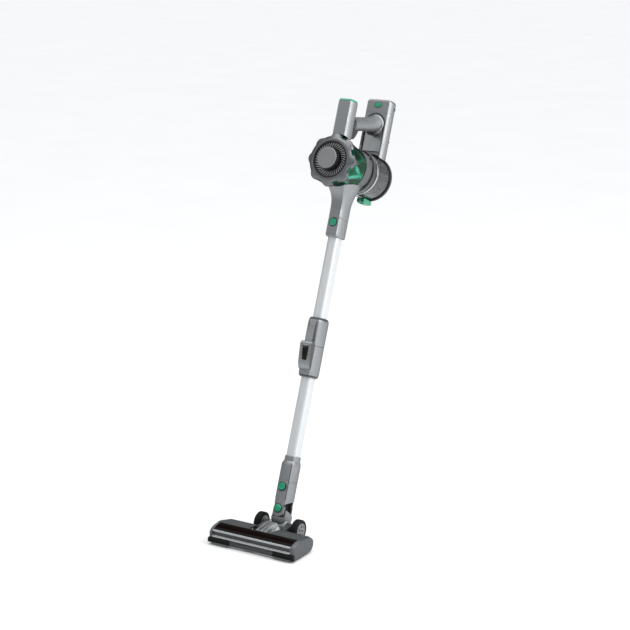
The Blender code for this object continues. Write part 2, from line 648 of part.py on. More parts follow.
def build_socket():
    frame = FRAMES["wand"]
    wall = 3.0
    socket = loft([
        socket_section(2.5, SOCKET_START), socket_section(0.6, SOCKET_START + 1.2),
        socket_section(0, SOCKET_START + 4),
        socket_section(0, SOCKET_SEAM), socket_section(wall, SOCKET_SEAM), socket_section(wall, 702),
        tube_section(GAP, 702), tube_section(GAP, SOCKET_START)], closed=True)
    hole = along_y(cylinder(BUTTON_RADIUS + GAP, -30, -10), 0, WAND_BUTTON_Z)
    trough = box(11, (-22, -16), (705, SOCKET_SEAM + 5))
    add("wand_socket", cut(socket, hole, trough), "gunmetal_plastic", frame)
    button_axis = axis_at("wand_button_axis", frame, -SOCKET_HALF_Y, WAND_BUTTON_Z)
    button = turned([(0, -BUTTON_PROUD), (6, -BUTTON_PROUD + 0.3), (BUTTON_RADIUS, -BUTTON_PROUD + 1.6),
                     (BUTTON_RADIUS, 2.4), (0, 2.4)], 28)
    button = along_y(button, 0, WAND_BUTTON_Z, -SOCKET_HALF_Y)
    add("wand_release_button", button, "green_plastic", button_axis)

    shape = ((SOCKET_SEAM + GAP, 24, 24, 19.5), (774, 24, 24, 19.5), (788, 29, 28, 20.5), (799, 41, 28, 25),
             (808, 54, 28, 31), (838, 60, 28, 37))
    outer = [socket_section(0, z, front, rear, wide) for z, front, rear, wide in shape]
    inner = [socket_section(wall, z, front, rear, wide) for z, front, rear, wide in shape]
    neck = loft(outer + inner[::-1], closed=True)
    bed = turned([(0, -100), (SHELL_FRONT_RADIUS + 3.7, -100), (SHELL_FRONT_RADIUS + 3.7, -54),
                  (SHELL_FRONT_RADIUS - 0.6, -54), (SHELL_REAR_RADIUS + 1, SHELL_REAR),
                  (SHELL_REAR_RADIUS + 1, 0), (RING_RADIUS + 0.6, 2), (RING_RADIUS + 0.6, 60), (0, 60)], 36)
    add("neck_housing", cut(neck, crosswise(bed)), "gunmetal_plastic", frame)


def lobe_wave(angle):
    """1 at each lobe of the collar, 0 between lobes."""
    return 0.5 + 0.5 * math.cos(LOBES * (angle - math.pi / 2))


def star_collar():
    """A ring with rounded lobes in front, and a pointed arm back from each lobe."""
    steps = LOBES * 6
    inner, seat = GRILLE_RADIUS + 1.2, GRILLE_RADIUS + 4
    spokes = []
    for step in range(steps):
        angle = math.tau * step / steps
        wave = lobe_wave(angle)
        rear = -78 + 18 * wave ** 1.6
        rim = 56 + 7.5 * wave
        profile = [
            (inner, COLLAR_FRONT + 4), (inner, COLLAR_FRONT), (48, COLLAR_FRONT),
            (rim - 1.5, -85), (rim, -81),
            (min(rim, 58.9), max(rear - 3, -79.5)), (57.6, rear), (56, rear), (56, SHELL_FRONT - GAP),
            (seat, SHELL_FRONT - GAP), (seat, COLLAR_FRONT + 4)]
        spokes.append([(radius * math.cos(angle), radius * math.sin(angle), z) for radius, z in profile])
    return loft(zip(*spokes), closed=True)


def exhaust_grille():
    """A flat ring with a raised rim, pierced by radial slots."""
    plate = turned([(DISC_RADIUS + GAP, -84), (DISC_RADIUS + GAP, -89), (GRILLE_RADIUS - 3, -89),
                    (GRILLE_RADIUS - 2, COLLAR_FRONT - 0.5), (GRILLE_RADIUS + 0.6, COLLAR_FRONT - 0.5),
                    (GRILLE_RADIUS + 0.6, -84)], 48)
    slots = None
    for slot in range(GRILLE_SLOTS):
        blade = box(1.1, (DISC_RADIUS + 3.2, GRILLE_RADIUS - 4.2), (-95, -80))
        blade.transform(Matrix.Rotation(math.tau * slot / GRILLE_SLOTS, 4, "Z"))
        if slots is None:
            slots = blade
        else:
            part = bpy.data.meshes.new("slot")
            blade.to_mesh(part)
            slots.from_mesh(part)
            bpy.data.meshes.remove(part)
            blade.free()
    return cut(plate, slots)


def build_motor_unit():
    frame = FRAMES["wand"]
    wall = 2.5
    shell = turned([
        (SHELL_FRONT_RADIUS, SHELL_FRONT), (SHELL_REAR_RADIUS, SHELL_REAR),
        (SHELL_REAR_RADIUS - wall, SHELL_REAR), (SHELL_FRONT_RADIUS - wall - 2, SHELL_FRONT)], 40)
    add("body_shell", crosswise(shell), "green_metallic", frame)

    exhaust_axis = axis_at("exhaust_axis", frame, COLLAR_FRONT, BODY_Z)
    add("star_collar", crosswise(star_collar()), "gunmetal_plastic", exhaust_axis)
    add("exhaust_grille", crosswise(exhaust_grille()), "charcoal_plastic", exhaust_axis)
    disc = turned([(0, DISC_FRONT), (DISC_RADIUS - 2, DISC_FRONT), (DISC_RADIUS, DISC_FRONT + 1.5),
                   (DISC_RADIUS, -84), (0, -84)], 40)
    add("exhaust_disc", crosswise(disc), "gunmetal_plastic", exhaust_axis)
    add("hepa_filter", crosswise(pipe(42, 18, -83.5, -60, 36)), "filter_white", exhaust_axis)

    can = turned([(0, -55), (20, -55), (30, -48), (30, -4), (4, -4), (4, -2), (0, -2)], 32)
    add("vacuum_motor", crosswise(can), "steel", frame)
    impeller_axis = axis_at("impeller_axis", frame, 6, BODY_Z)
    wheel = turned([(0, -1.5), (29, -1.5), (29, 1), (14, 8), (6, 12), (0, 12)], 32)
    add("impeller", crosswise(wheel), "silver_plastic", impeller_axis)



def build_cup():
    frame = FRAMES["wand"]
    add("seal_ring", crosswise(pipe(RING_RADIUS + 1.4, 44.5, -8.2, -5.3, 40)), "black_rubber", frame)
    ring = turned([(RING_RADIUS, -5), (RING_RADIUS, RING_REAR), (18, RING_REAR), (18, RING_REAR - 3),
                   (RING_RADIUS - 3.5, RING_REAR - 3), (RING_RADIUS - 3.5, -5)], 36)
    add("cyclone_ring", crosswise(ring), "gunmetal_plastic", frame)
    shroud = turned([(29, RING_REAR + GAP), (27, 84), (17, 84), (17, 82.5), (25.5, 82.5),
                     (27.5, RING_REAR + GAP)], 32)
    add("mesh_shroud", crosswise(shroud), "silver_plastic", frame)
    cup = pipe(CUP_RADIUS, CUP_RADIUS - CUP_WALL, CUP_FRONT, CUP_REAR, 48)
    add("dust_cup", crosswise(cup), "smoke_clear", frame)

    lid_axis = axis_at("lid_axis", frame, HINGE_Y, HINGE_Z)
    lid = crosswise(turned([(0, CUP_REAR + GAP), (LID_RADIUS, CUP_REAR + GAP), (LID_RADIUS, 118),
                            (52, LID_REAR), (0, LID_REAR)], 36))
    lug = box(9, (115, 122), (BODY_Z + 50, HINGE_Z))
    lid = join(lid, lug, along_x(cylinder(3.2, -9, 9, 16), HINGE_Y, HINGE_Z))
    add("cup_lid", lid, "smoke_clear", lid_axis)

    latch_axis = axis_at("latch_axis", frame, 87, 797)
    outline = [(82, 797), (84, 792), (88, 789.5), (116, 789.5), (121, 791.5), (121.6, 800.2)]
    outline += [(119.8, 800.2), (118.8, 798.8), (110, 799.2), (108, 802), (88, 802), (83, 800)]
    add("lid_latch", extrude(outline, -9.5, 9.5), "green_plastic", latch_axis)


# ---------------------------------------------------------------- handle
def upright_section(inset, z):
    middle = (UPRIGHT_FRONT + UPRIGHT_REAR) / 2
    half = (UPRIGHT_REAR - UPRIGHT_FRONT) / 2
    return section(UPRIGHT_HALF_X - inset, half - inset, 11 - inset, z, middle)


def build_upright():
    frame = FRAMES["wand"]
    rim = UPRIGHT_TOP - 3
    column = loft([upright_section(0, 880), upright_section(0, rim), upright_section(2.4, rim),
                   upright_section(2.4, 880)], closed=True)
    bed = crosswise(turned([(0, -110), (63.4, -110), (63.4, -70), (60, -60), (60, 10), (0, 10)], 40))
    wire_hole = along_y(cylinder(9, -50, -38), 0, GRIP_FRONT[1])
    add("front_upright", cut(column, bed, wire_hole), "gunmetal_plastic", frame)
    ring = loft([upright_section(0, rim + GAP), upright_section(0, UPRIGHT_TOP - 1),
                 upright_section(1.2, UPRIGHT_TOP), upright_section(2.6, UPRIGHT_TOP),
                 upright_section(2.6, rim + GAP)], closed=True)
    add("upright_rim", ring, "green_plastic", frame)
    middle = (UPRIGHT_FRONT + UPRIGHT_REAR) / 2
    panel = loft([upright_section(2.9, rim - 3), upright_section(2.9, UPRIGHT_TOP - 0.8)])
    panel = cut(panel, moved(cylinder(5.3, rim - 10, UPRIGHT_TOP + 5, 20), y=middle + 5))
    add("display_panel", panel, "black_plastic", frame)
    speed_axis = axis_at("speed_button_axis", frame, middle + 5, UPRIGHT_TOP)
    button = moved(cylinder(5, rim - 1.5, UPRIGHT_TOP + 0.7, 20), y=middle + 5)
    add("speed_button", button, "green_plastic", speed_axis)


def along_grip(mesh, start=0.0):
    """Lay a Z-axis shape along the sloping grip, from its front end."""
    run = GRIP_REAR[0] - GRIP_FRONT[0]
    rise = GRIP_REAR[1] - GRIP_FRONT[1]
    mesh.transform(
        Matrix.Translation((0, GRIP_FRONT[0], GRIP_FRONT[1]))
        @ Matrix.Rotation(math.atan2(rise, run), 4, "X") @ TO_Y @ Matrix.Translation((0, 0, start)))
    return mesh


def build_grip():
    frame = FRAMES["wand"]
    length = math.dist(GRIP_FRONT, GRIP_REAR)
    bore = GRIP_RADIUS - 3.1
    grip = turned([(GRIP_RADIUS, -12), (GRIP_RADIUS, length - 48), (GRIP_RADIUS + 1.2, length - 25),
                   (GRIP_RADIUS + 3, length - 10), (GRIP_RADIUS + 5, length + 12),
                   (bore, length + 12), (bore, -12)], 32)
    grip = along_grip(grip)
    ends = box(60, (UPRIGHT_REAR + GAP, GRIP_REAR[0] - 2.8), (880, 1040))
    grip = overlap(grip, ends)
    slot = box(8, (-36.8, 6), (900, 953))
    add("grip_tube", cut(grip, slot), "gunmetal_plastic", frame)

    trigger_axis = axis_at("trigger_axis", frame, -31, 945)
    outline = [(-35, 948), (-35, 928), (-31, 922.5), (-24, 920), (-16, 922), (-9, 929), (-3, 939), (1, 949)]
    add("trigger", extrude(outline, -7.4, 7.4), "black_plastic", trigger_axis)

    back = 90.6
    flange = turned([(0, 77.5), (22.5, 77.5), (DOCK_RADIUS, 79.5), (DOCK_RADIUS, back), (0, back)], 40)
    flange = along_y(flange, 0, GRIP_REAR[1])
    tongue = box(DOCK_RADIUS - 1.5, (86.5, back), (918, GRIP_REAR[1]))
    bore = along_y(cylinder(10, 70, 88), 0, GRIP_REAR[1])
    add("battery_dock", cut(join(flange, tongue), bore), "silver_plastic", frame)


def oval(half_x, half_z, steps=24):
    angles = [math.tau * step / steps for step in range(steps)]
    return [(half_x * math.cos(angle), half_z * math.sin(angle)) for angle in angles]


def build_battery():
    frame = FRAMES["wand"]
    battery_axis = axis_at("battery_axis", frame, BATTERY_REAR, BATTERY_TOP)
    middle = (BATTERY_FRONT + BATTERY_REAR) / 2
    half = (BATTERY_REAR - BATTERY_FRONT) / 2
    corner = 8
    case = loft([section(BATTERY_HALF_X, half, corner, 880, middle),
                 section(BATTERY_HALF_X, half, corner, BATTERY_TOP - 4, middle),
                 section(BATTERY_HALF_X - 3, half - 3, corner - 3, BATTERY_TOP, middle)])
    bed = crosswise(cylinder(SADDLE_RADIUS, 60, 130, 56))
    width = DOCK_RADIUS + 0.8
    channel = arc(0, GRIP_REAR[1], width, 0, 180, 16) + [(-width, 870), (width, 870)]
    channel = extrude_y(channel, BATTERY_FRONT - 5, 91.4)
    cells = box(29, (93.6, 112.2), (916, 1041))
    button_hole = extrude_y([(x, BATTERY_BUTTON_Z + z) for x, z in oval(10.3, 6.9)], 70, 95)
    port_hole = box(60, (99, 106), (1020, 1030))
    port_hole = overlap(port_hole, moved(box(40, (90, 110), (1000, 1040)), x=68))
    case = cut(case, bed, channel, join(cells, button_hole, port_hole))
    add("battery_case", case, "gunmetal_plastic", battery_axis)

    cells = None
    for column in (-1, 0, 1):
        cell = moved(cylinder(9.1, 917, 1040, 20), x=column * 18.8, y=102.9)
        cells = cell if cells is None else join(cells, cell)
    cells = join(cells, box(27, (101.5, 104.3), (925, 1030)))
    add("battery_cells", cells, "cell_blue", battery_axis)
    button_axis = axis_at("battery_button_axis", frame, BATTERY_FRONT, BATTERY_BUTTON_Z)
    button = extrude_y([(x, BATTERY_BUTTON_Z + z) for x, z in oval(10, 6.6)], 78.8, 90.2)
    add("battery_release_button", button, "green_plastic", button_axis)


set_up()
build_head()
build_wheels()
build_brush()
build_knuckle()
build_connector()
build_wand()
build_socket()
build_motor_unit()
build_cup()
build_upright()
build_grip()
build_battery()
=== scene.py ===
"""The looks of a cordless stick vacuum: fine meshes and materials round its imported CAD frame.

Sizes are in millimetres in two frames. The floor frame has X across the floor head, Y to
the user and Z up, from the floor under the tilt axle. The wand frame starts at that axle
with Z up along the wand and Y to the rear. Meshes keep the coordinates of their frame, so
patterns run along the wand.
"""

import json
import math
import random

import bmesh
import bpy
from mathutils import Matrix, Vector

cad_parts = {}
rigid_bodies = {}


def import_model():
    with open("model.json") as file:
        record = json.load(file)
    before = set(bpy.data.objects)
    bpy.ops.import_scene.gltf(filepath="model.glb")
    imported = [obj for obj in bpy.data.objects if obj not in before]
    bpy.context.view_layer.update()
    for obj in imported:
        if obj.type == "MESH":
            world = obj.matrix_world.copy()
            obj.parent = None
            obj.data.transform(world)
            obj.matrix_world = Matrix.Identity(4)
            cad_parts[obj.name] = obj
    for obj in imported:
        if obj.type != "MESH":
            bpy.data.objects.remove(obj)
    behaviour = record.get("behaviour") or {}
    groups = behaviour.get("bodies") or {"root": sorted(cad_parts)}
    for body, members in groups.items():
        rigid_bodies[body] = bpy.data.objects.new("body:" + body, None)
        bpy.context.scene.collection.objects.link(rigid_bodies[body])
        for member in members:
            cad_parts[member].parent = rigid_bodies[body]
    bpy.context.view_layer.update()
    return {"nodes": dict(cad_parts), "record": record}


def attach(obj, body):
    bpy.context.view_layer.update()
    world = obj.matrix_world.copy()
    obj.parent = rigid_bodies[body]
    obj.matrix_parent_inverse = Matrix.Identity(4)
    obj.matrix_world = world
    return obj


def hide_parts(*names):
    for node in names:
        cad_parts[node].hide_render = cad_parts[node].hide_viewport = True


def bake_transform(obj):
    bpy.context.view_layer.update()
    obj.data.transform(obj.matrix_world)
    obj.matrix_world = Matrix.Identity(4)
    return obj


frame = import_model()

MM = 0.001
GAP = 0.3
LEAN = math.radians(21.11)

# The middle of the grip is the model's origin
AXLE_HEIGHT = 25.0
GRIP_Y, GRIP_Z = 10.0, 964.0
FLOOR_Y = -(GRIP_Y * math.cos(LEAN) + GRIP_Z * math.sin(LEAN))
FLOOR_Z = -(AXLE_HEIGHT - GRIP_Y * math.sin(LEAN) + GRIP_Z * math.cos(LEAN))
FLOOR = Matrix.Translation((0, FLOOR_Y * MM, FLOOR_Z * MM))
WAND = FLOOR @ Matrix.Translation((0, 0, AXLE_HEIGHT * MM)) @ Matrix.Rotation(-LEAN, 4, "X")

# Heights in the wand frame: the neck's swing axis, two round buttons, the motor unit and the battery's button
SWING_Z = 41
HEAD_BUTTON_Z = 92
WAND_BUTTON_Z = 720
BODY_Z = 855.0
BUTTON_Z = 1030.5
# (y, z) places in the wand frame: the fold's pin, and the ends of the grip's middle line
FOLD_PIN = -33.5, 427
GRIP_FRONT, GRIP_REAR = (-37, 953), (80, 982)
DOCK_Z = GRIP_REAR[1]
SPEED_BUTTON_Y = -51.5
# In the floor frame: half the head's width with and without its end caps, the brush's axis and the wheels
HEAD_HALF, HEAD_INNER = 115.5, 105.2
BRUSH_Y, BRUSH_Z = -97.0, 18.7
WHEEL_X, WHEEL_HALF = 50.5, 8.5

SIDES = ((-1, "left"), (1, "right"))
FLOOR_BODIES = ("floor_head", "brush_roll", "wheel_left", "wheel_right")

TO_X = Matrix.Rotation(math.radians(90), 4, "Y")
TO_Y = Matrix.Rotation(math.radians(-90), 4, "X")


# ---------------------------------------------------------------- materials
class Look:
    """A Principled material with helpers for its node tree."""

    def __init__(self, name, roughness, metallic=0.0, coat=0.0, specular=0.5, edge_tint=0.05):
        self.material = bpy.data.materials.new(name)
        self.material.use_nodes = True
        self.tree = self.material.node_tree
        self.shader = self.tree.nodes["Principled BSDF"]
        self.set("Roughness", roughness)
        self.set("Metallic", metallic)
        self.set("Coat Weight", coat)
        self.set("Coat Roughness", 0.2)
        self.set("Specular IOR Level", specular)
        if metallic > 0.3:
            self.set("Specular Tint", (*[edge_tint] * 3, 1.0))
        self.place = self.node("ShaderNodeTexCoord").outputs["Object"]

    def set(self, socket, value):
        self.shader.inputs[socket].default_value = value

    def plug(self, socket, value):
        if isinstance(value, bpy.types.NodeSocket):
            self.tree.links.new(value, socket)
        else:
            socket.default_value = (*value, 1.0) if socket.type == "RGBA" else value

    def node(self, kind, **inputs):
        node = self.tree.nodes.new(kind)
        for socket, value in inputs.items():
            self.plug(node.inputs[socket.replace("_", " ")], value)
        return node

    def link(self, output, socket):
        self.tree.links.new(output, self.shader.inputs[socket])

    def stretched(self, scale):
        """The place, scaled on each axis."""
        return self.node("ShaderNodeMapping", Vector=self.place, Scale=scale).outputs["Vector"]

    def noise(self, scale, detail=3.0, place=None, roughness=0.55):
        place = place or self.place
        return self.node("ShaderNodeTexNoise", Vector=place, Scale=scale, Detail=detail,
            Roughness=roughness).outputs["Fac"]

    def ramp(self, factor, stops):
        node = self.node("ShaderNodeValToRGB", Fac=factor)
        elements = node.color_ramp.elements
        while len(elements) < len(stops):
            elements.new(0.5)
        for element, (position, colour) in zip(elements, stops):
            element.position = position
            element.color = (*colour, 1.0)
        return node.outputs["Color"]

    def tones(self, factor, colour, *stops):
        """A ramp through a colour, brighter or darker at each (position, share)."""
        return self.ramp(factor, [(position, scaled(colour, share)) for position, share in stops])

    def mix(self, factor, first, second):
        node = self.node("ShaderNodeMix")
        node.data_type = "RGBA"
        for index, value in ((0, factor), (6, first), (7, second)):
            self.plug(node.inputs[index], value)
        return node.outputs[2]

    def maths(self, operation, *values):
        node = self.node("ShaderNodeMath")
        node.operation = operation
        for socket, value in zip(node.inputs, values):
            self.plug(socket, value)
        return node.outputs[0]

    def spread(self, factor, low, high):
        """A 0 to 1 value, carried to between low and high."""
        node = self.node("ShaderNodeMapRange", Value=factor, From_Min=0.3, From_Max=0.7, To_Min=low,
            To_Max=high)
        return node.outputs["Result"]

    def colour(self, output):
        self.link(output, "Base Color")

    def rough(self, factor, low, high):
        self.link(self.spread(factor, low, high), "Roughness")

    def bump(self, *layers):
        """Bump from (height, strength, distance in mm) layers."""
        normal = None
        for height, strength, distance in layers:
            node = self.node("ShaderNodeBump", Height=height, Strength=strength, Distance=distance * MM)
            if normal is not None:
                self.tree.links.new(normal, node.inputs["Normal"])
            normal = node.outputs["Normal"]
        self.link(normal, "Normal")


def scaled(colour, by):
    return tuple(min(1.0, part * by) for part in colour)


def moulded(name, colour, roughness, metallic, grain, depth, drift, flake=0.0, coat=0.0):
    """Moulded or painted plastic: fine grain, a slow drift of tone, and rubbed, glossier patches."""
    look = Look(name, roughness, metallic, coat=coat)
    tone = look.tones(look.noise(14, 4), colour, (0.3, 1 - drift), (0.7, 1 + drift))
    if flake:
        cells = look.node("ShaderNodeTexVoronoi", Vector=look.place, Scale=2600.0).outputs["Color"]
        spark = look.node("ShaderNodeSeparateColor", Color=cells).outputs[0]
        share = look.maths("MULTIPLY", look.maths("POWER", spark, 6.0), flake)
        tone = look.mix(share, tone, scaled(colour, 2.6))
    look.colour(tone)
    look.rough(look.noise(55, 5, roughness=0.65), roughness * 0.86, roughness * 1.16)
    look.bump((look.noise(grain, 2), 0.3, depth), (look.noise(220, 3), 0.05, depth))
    return look.material


def brushed(name, colour, roughness):
    """Satin anodised aluminium with fine lines along the tube."""
    look = Look(name, roughness, 0.5, edge_tint=0.0)
    lines = look.noise(1.0, 4, look.stretched((2600, 2600, 26)), 0.6)
    slow = look.noise(1.0, 3, look.stretched((30, 30, 3)))
    tone = look.tones(lines, colour, (0.25, 0.93), (0.75, 1.05))
    look.colour(look.mix(look.spread(slow, 0.0, 0.35), tone, scaled(colour, 0.9)))
    look.rough(lines, roughness * 0.9, roughness * 1.15)
    look.bump((lines, 0.12, 0.02))
    return look.material


# The shell's spiral folds: how many, the height of their axis, their front end and their twist, in metres
FOLDS = 8
FOLD_AXIS = 0.855
FOLD_START = 0.076
FOLD_TWIST = 28.2


def folds_with_painted_light(name, colour, light):
    """Green metallic lacquer over the shell's spiral folds, with painted shade in the hollows and a painted
    highlight along some of the ridges.
    """
    look = Look(name, 0.22, 0.9, coat=0.25)
    across, along, up = look.node("ShaderNodeSeparateXYZ", Vector=look.place).outputs
    angle = look.maths("MULTIPLY", look.maths("ARCTAN2", look.maths("SUBTRACT", up, FOLD_AXIS), across),
        FOLDS / 2)
    twist = look.maths("MULTIPLY", look.maths("ADD", along, FOLD_START), FOLD_TWIST)
    crossing = [look.maths("ABSOLUTE", look.maths("COSINE", look.maths(way, angle, twist)))
        for way in ("ADD", "SUBTRACT")]
    ridge = look.maths("MAXIMUM", *crossing)
    drift = look.maths("MULTIPLY", look.maths("SUBTRACT", look.noise(26, 1), 0.5), 0.4)
    fine = look.noise(1500, 2)
    # Painted light: the colour runs from painted shade in the hollows to a pale painted highlight on the
    # ridges
    tone = look.ramp(look.maths("ADD", ridge, drift), ((0.72, scaled(colour, 0.75)), (0.86, colour),
        (0.95, scaled(colour, 1.4)), (1.0, light)))
    look.colour(look.mix(look.spread(fine, 0.0, 0.25), tone, scaled(colour, 0.6)))
    look.rough(look.noise(55, 4), 0.17, 0.24)
    look.bump((fine, 0.3, 0.004))
    return look.material


def painted_reflection_streaks(name, colour):
    """Metallic paint with painted reflections: soft dark and light streaks from front to rear."""
    look = Look(name, 0.42, 0.75)
    streaks = look.noise(1.0, 3, look.stretched((150, 9, 60)), 0.5)
    # Painted reflection: the dark and pale streaks stand in for reflections on the curved nose
    look.colour(look.tones(streaks, colour, (0.36, 0.3), (0.5, 1), (0.64, 1.35)))
    look.rough(look.noise(60, 4), 0.36, 0.48)
    look.bump((look.noise(1500, 2), 0.3, 0.006))
    return look.material


def rubber(name, colour):
    look = Look(name, 0.7, specular=0.15)
    dust = look.noise(38, 6, roughness=0.7)
    look.colour(look.tones(dust, colour, (0.35, 1), (0.8, 1.4)))
    look.rough(dust, 0.62, 0.82)
    look.bump((look.noise(900, 3), 0.4, 0.06))
    return look.material


def smoky(name, colour, transmission, roughness=0.05, specular=0.5):
    """Tinted clear plastic with faint swirl marks."""
    look = Look(name, roughness, specular=specular)
    look.set("Transmission Weight", transmission)
    look.set("IOR", 1.35)
    look.colour(look.tones(look.noise(24, 5, roughness=0.7), colour, (0.3, 0.9), (0.75, 1.08)))
    look.rough(look.noise(420, 4), roughness, roughness + 0.07)
    look.bump((look.noise(70, 2), 0.05, 0.05))
    return look.material


def speckled(name, colour):
    """Grey plastic with dense darker and lighter specks."""
    look = Look(name, 0.5, 0.1)
    fine = look.noise(1100, 2, roughness=0.9)
    coarse = look.noise(420, 3, roughness=0.8)
    tone = look.tones(fine, colour, (0.38, 0.55), (0.5, 1), (0.64, 1.5))
    look.colour(look.mix(look.spread(coarse, 0.0, 0.5), tone, scaled(colour, 0.75)))
    look.bump((fine, 0.5, 0.08))
    return look.material


def perforated(name, colour):
    """Metal mesh with rows of small holes round the wand's cross axis."""
    look = Look(name, 0.35, 0.6)
    cells = look.node("ShaderNodeTexVoronoi", Vector=look.place, Scale=620.0, Randomness=0.12)
    hole = look.spread(cells.outputs["Distance"], 1.0, 0.0)
    look.colour(look.tones(hole, colour, (0.35, 1), (0.6, 0.12)))
    look.bump((look.maths("SUBTRACT", 1.0, hole), 0.6, 0.25))
    return look.material


def bristles(name, colour):
    look = Look(name, 0.75, specular=0.3)
    strands = look.noise(1.0, 3, look.stretched((1500, 700, 700)), 0.75)
    tone = look.tones(strands, colour, (0.3, 0.35), (0.7, 1.5))
    look.colour(look.mix(look.spread(look.noise(120, 4), 0.0, 0.6), tone, scaled(colour, 0.5)))
    look.set("Sheen Weight", 0.3)
    look.bump((strands, 0.8, 0.35))
    return look.material


def pleated(name, colour):
    """Filter paper with fibres."""
    look = Look(name, 0.9)
    fibre = look.noise(800, 6, roughness=0.75)
    look.colour(look.tones(fibre, colour, (0.3, 0.82), (0.7, 1)))
    look.bump((fibre, 0.5, 0.1))
    return look.material


# Kind, name, colour, and what else that kind takes
PALETTE = (
    (moulded, "gunmetal_plastic", (0.30, 0.31, 0.318), 0.45, 0.8, 1500, 0.012, 0.05, 0.12),
    (moulded, "charcoal_plastic", (0.047, 0.051, 0.054), 0.42, 0.15, 1100, 0.05, 0.12),
    (moulded, "black_plastic", (0.011, 0.011, 0.012), 0.3, 0.0, 1300, 0.02, 0.15),
    (rubber, "black_rubber", (0.009, 0.009, 0.009)),
    (moulded, "green_plastic", (0.008, 0.30, 0.155), 0.33, 0.0, 1200, 0.015, 0.06, 0.0, 0.3),
    # The second green is the painted highlight along the shell's fold ridges
    (folds_with_painted_light, "green_metallic", (0.008, 0.15, 0.088), (0.12, 0.46, 0.34)),
    (brushed, "satin_aluminium", (0.71, 0.73, 0.74), 0.4),
    (moulded, "silver_plastic", (0.36, 0.375, 0.38), 0.24, 0.85, 1500, 0.006, 0.05, 0.2),
    (smoky, "smoke_clear", (0.27, 0.28, 0.285), 0.92),
    (moulded, "steel", (0.55, 0.56, 0.57), 0.28, 1.0, 1800, 0.015, 0.06),
    (bristles, "bristle_red", (0.16, 0.012, 0.012)),
    (pleated, "filter_white", (0.72, 0.72, 0.68)),
    (moulded, "cell_blue", (0.03, 0.09, 0.25), 0.35, 0.0, 900, 0.02, 0.1, 0.0, 0.5),
    (speckled, "speckled_grey", (0.10, 0.105, 0.108)),
    (perforated, "perforated_steel", (0.30, 0.31, 0.315)),
    (moulded, "gunmetal_light", (0.36, 0.37, 0.38), 0.3, 0.8, 1500, 0.012, 0.05, 0.12),
    (moulded, "gunmetal_flat", (0.26, 0.268, 0.275), 0.46, 0.35, 1500, 0.015, 0.04),
    (moulded, "cap_grey", (0.115, 0.121, 0.126), 0.46, 0.35, 1500, 0.015, 0.04),
    (moulded, "collar_grey", (0.17, 0.177, 0.182), 0.36, 0.7, 1500, 0.012, 0.05, 0.12),
    # Silver with painted reflection streaks, for the nose
    (painted_reflection_streaks, "streaked_silver", (0.26, 0.27, 0.275)),
    (moulded, "vane_grey", (0.44, 0.45, 0.455), 0.4, 0.1, 1500, 0.01, 0.05),
    (smoky, "window_dark", (0.004, 0.0012, 0.0012), 0.07, 0.06, 0.04),
    (moulded, "silver_trim", (0.5, 0.51, 0.52), 0.25, 0.9, 1800, 0.01, 0.04),
)
LOOKS = {name: kind(name, *values) for kind, name, *values in PALETTE}


# ---------------------------------------------------------------- shapes
def section(half_x, half_y, corner, z, steps=10):
    """A rounded rectangle at height z, anticlockwise."""
    radius = min(corner, half_x - 0.05, half_y - 0.05)
    points = []
    for quarter, (side_x, side_y) in enumerate(((1, 1), (-1, 1), (-1, -1), (1, -1))):
        for step in range(steps + 1):
            angle = math.radians(90 * (quarter + step / steps))
            across = side_x * (half_x - radius) + radius * math.cos(angle)
            along = side_y * (half_y - radius) + radius * math.sin(angle)
            points.append(Vector((across, along, z)))
    return points


def rear_corner(half_x, half_y, corner, widest):
    """The right rear quarter of an outline, from its widest place to the middle of the rear."""
    corner = min(corner, half_x - 0.05)
    angles = [math.radians(9 * step) for step in range(11)]
    return [(half_x - corner + corner * math.cos(a), widest + (half_y - widest) * math.sin(a))
        for a in angles]


def both_sides(rear, front, z, y=0.0):
    """A section from its right rear and right front quarters, both drawn from the side to the middle."""
    outline = rear + [(-a, b) for a, b in reversed(rear)] + [(-a, b) for a, b in front] + front[::-1]
    return [Vector((a, y + b, z)) for a, b in outline]


def creased(half_x, half_y, flat, z, y, corner, waist):
    """A section with a flat front, a crease at each side of it, bulged sides and rounded rear corners."""
    widest = half_y * waist
    crease = math.radians(62)
    front = []
    for step in range(11):
        angle = crease * (step + 1) / 11
        across = (math.cos(angle) - math.cos(crease)) / (1 - math.cos(crease))
        back = 1 - math.sin(angle) / math.sin(crease)
        front.append((flat + (half_x - flat) * across, -half_y + (half_y + widest) * back))
    return both_sides(rear_corner(half_x, half_y, corner, widest), front, z, y)


def columned(half_x, half_y, flat, z, corner, swell=3.2):
    """A section with a rounded column in front, a valley at each side of it and bulged sides."""
    widest = half_y * 0.05
    edge = -half_y + swell
    front = []
    for step in range(4, -1, -1):
        angle = math.radians(60 - 12 * step)
        across = (math.cos(angle) - 0.5) / 0.5
        back = 1 - math.sin(angle) / math.sin(math.radians(60))
        reach = flat + 1.1 + (half_x - flat - 1.1) * across
        front.append((reach, edge + 0.5 + (widest - edge - 0.5) * back))
    front.append((flat + 0.6, edge + 0.9))
    front += [(flat * share, -half_y + swell * share * share) for share in (1, 0.82, 0.6, 0.36, 0.12)]
    return both_sides(rear_corner(half_x, half_y, corner, widest), front, z)


def arc(centre_y, centre_z, radius, start, end, steps):
    angles = [math.radians(start + (end - start) * step / steps) for step in range(steps + 1)]
    return [(centre_y + radius * math.cos(a), centre_z + radius * math.sin(a)) for a in angles]


def arch(radius, centre, low):
    """A half round about the height centre, on straight legs down to low."""
    return [(x, centre + z) for x, z in arc(0, 0, radius, 0, 180, 40)] + [(-radius, low), (radius, low)]


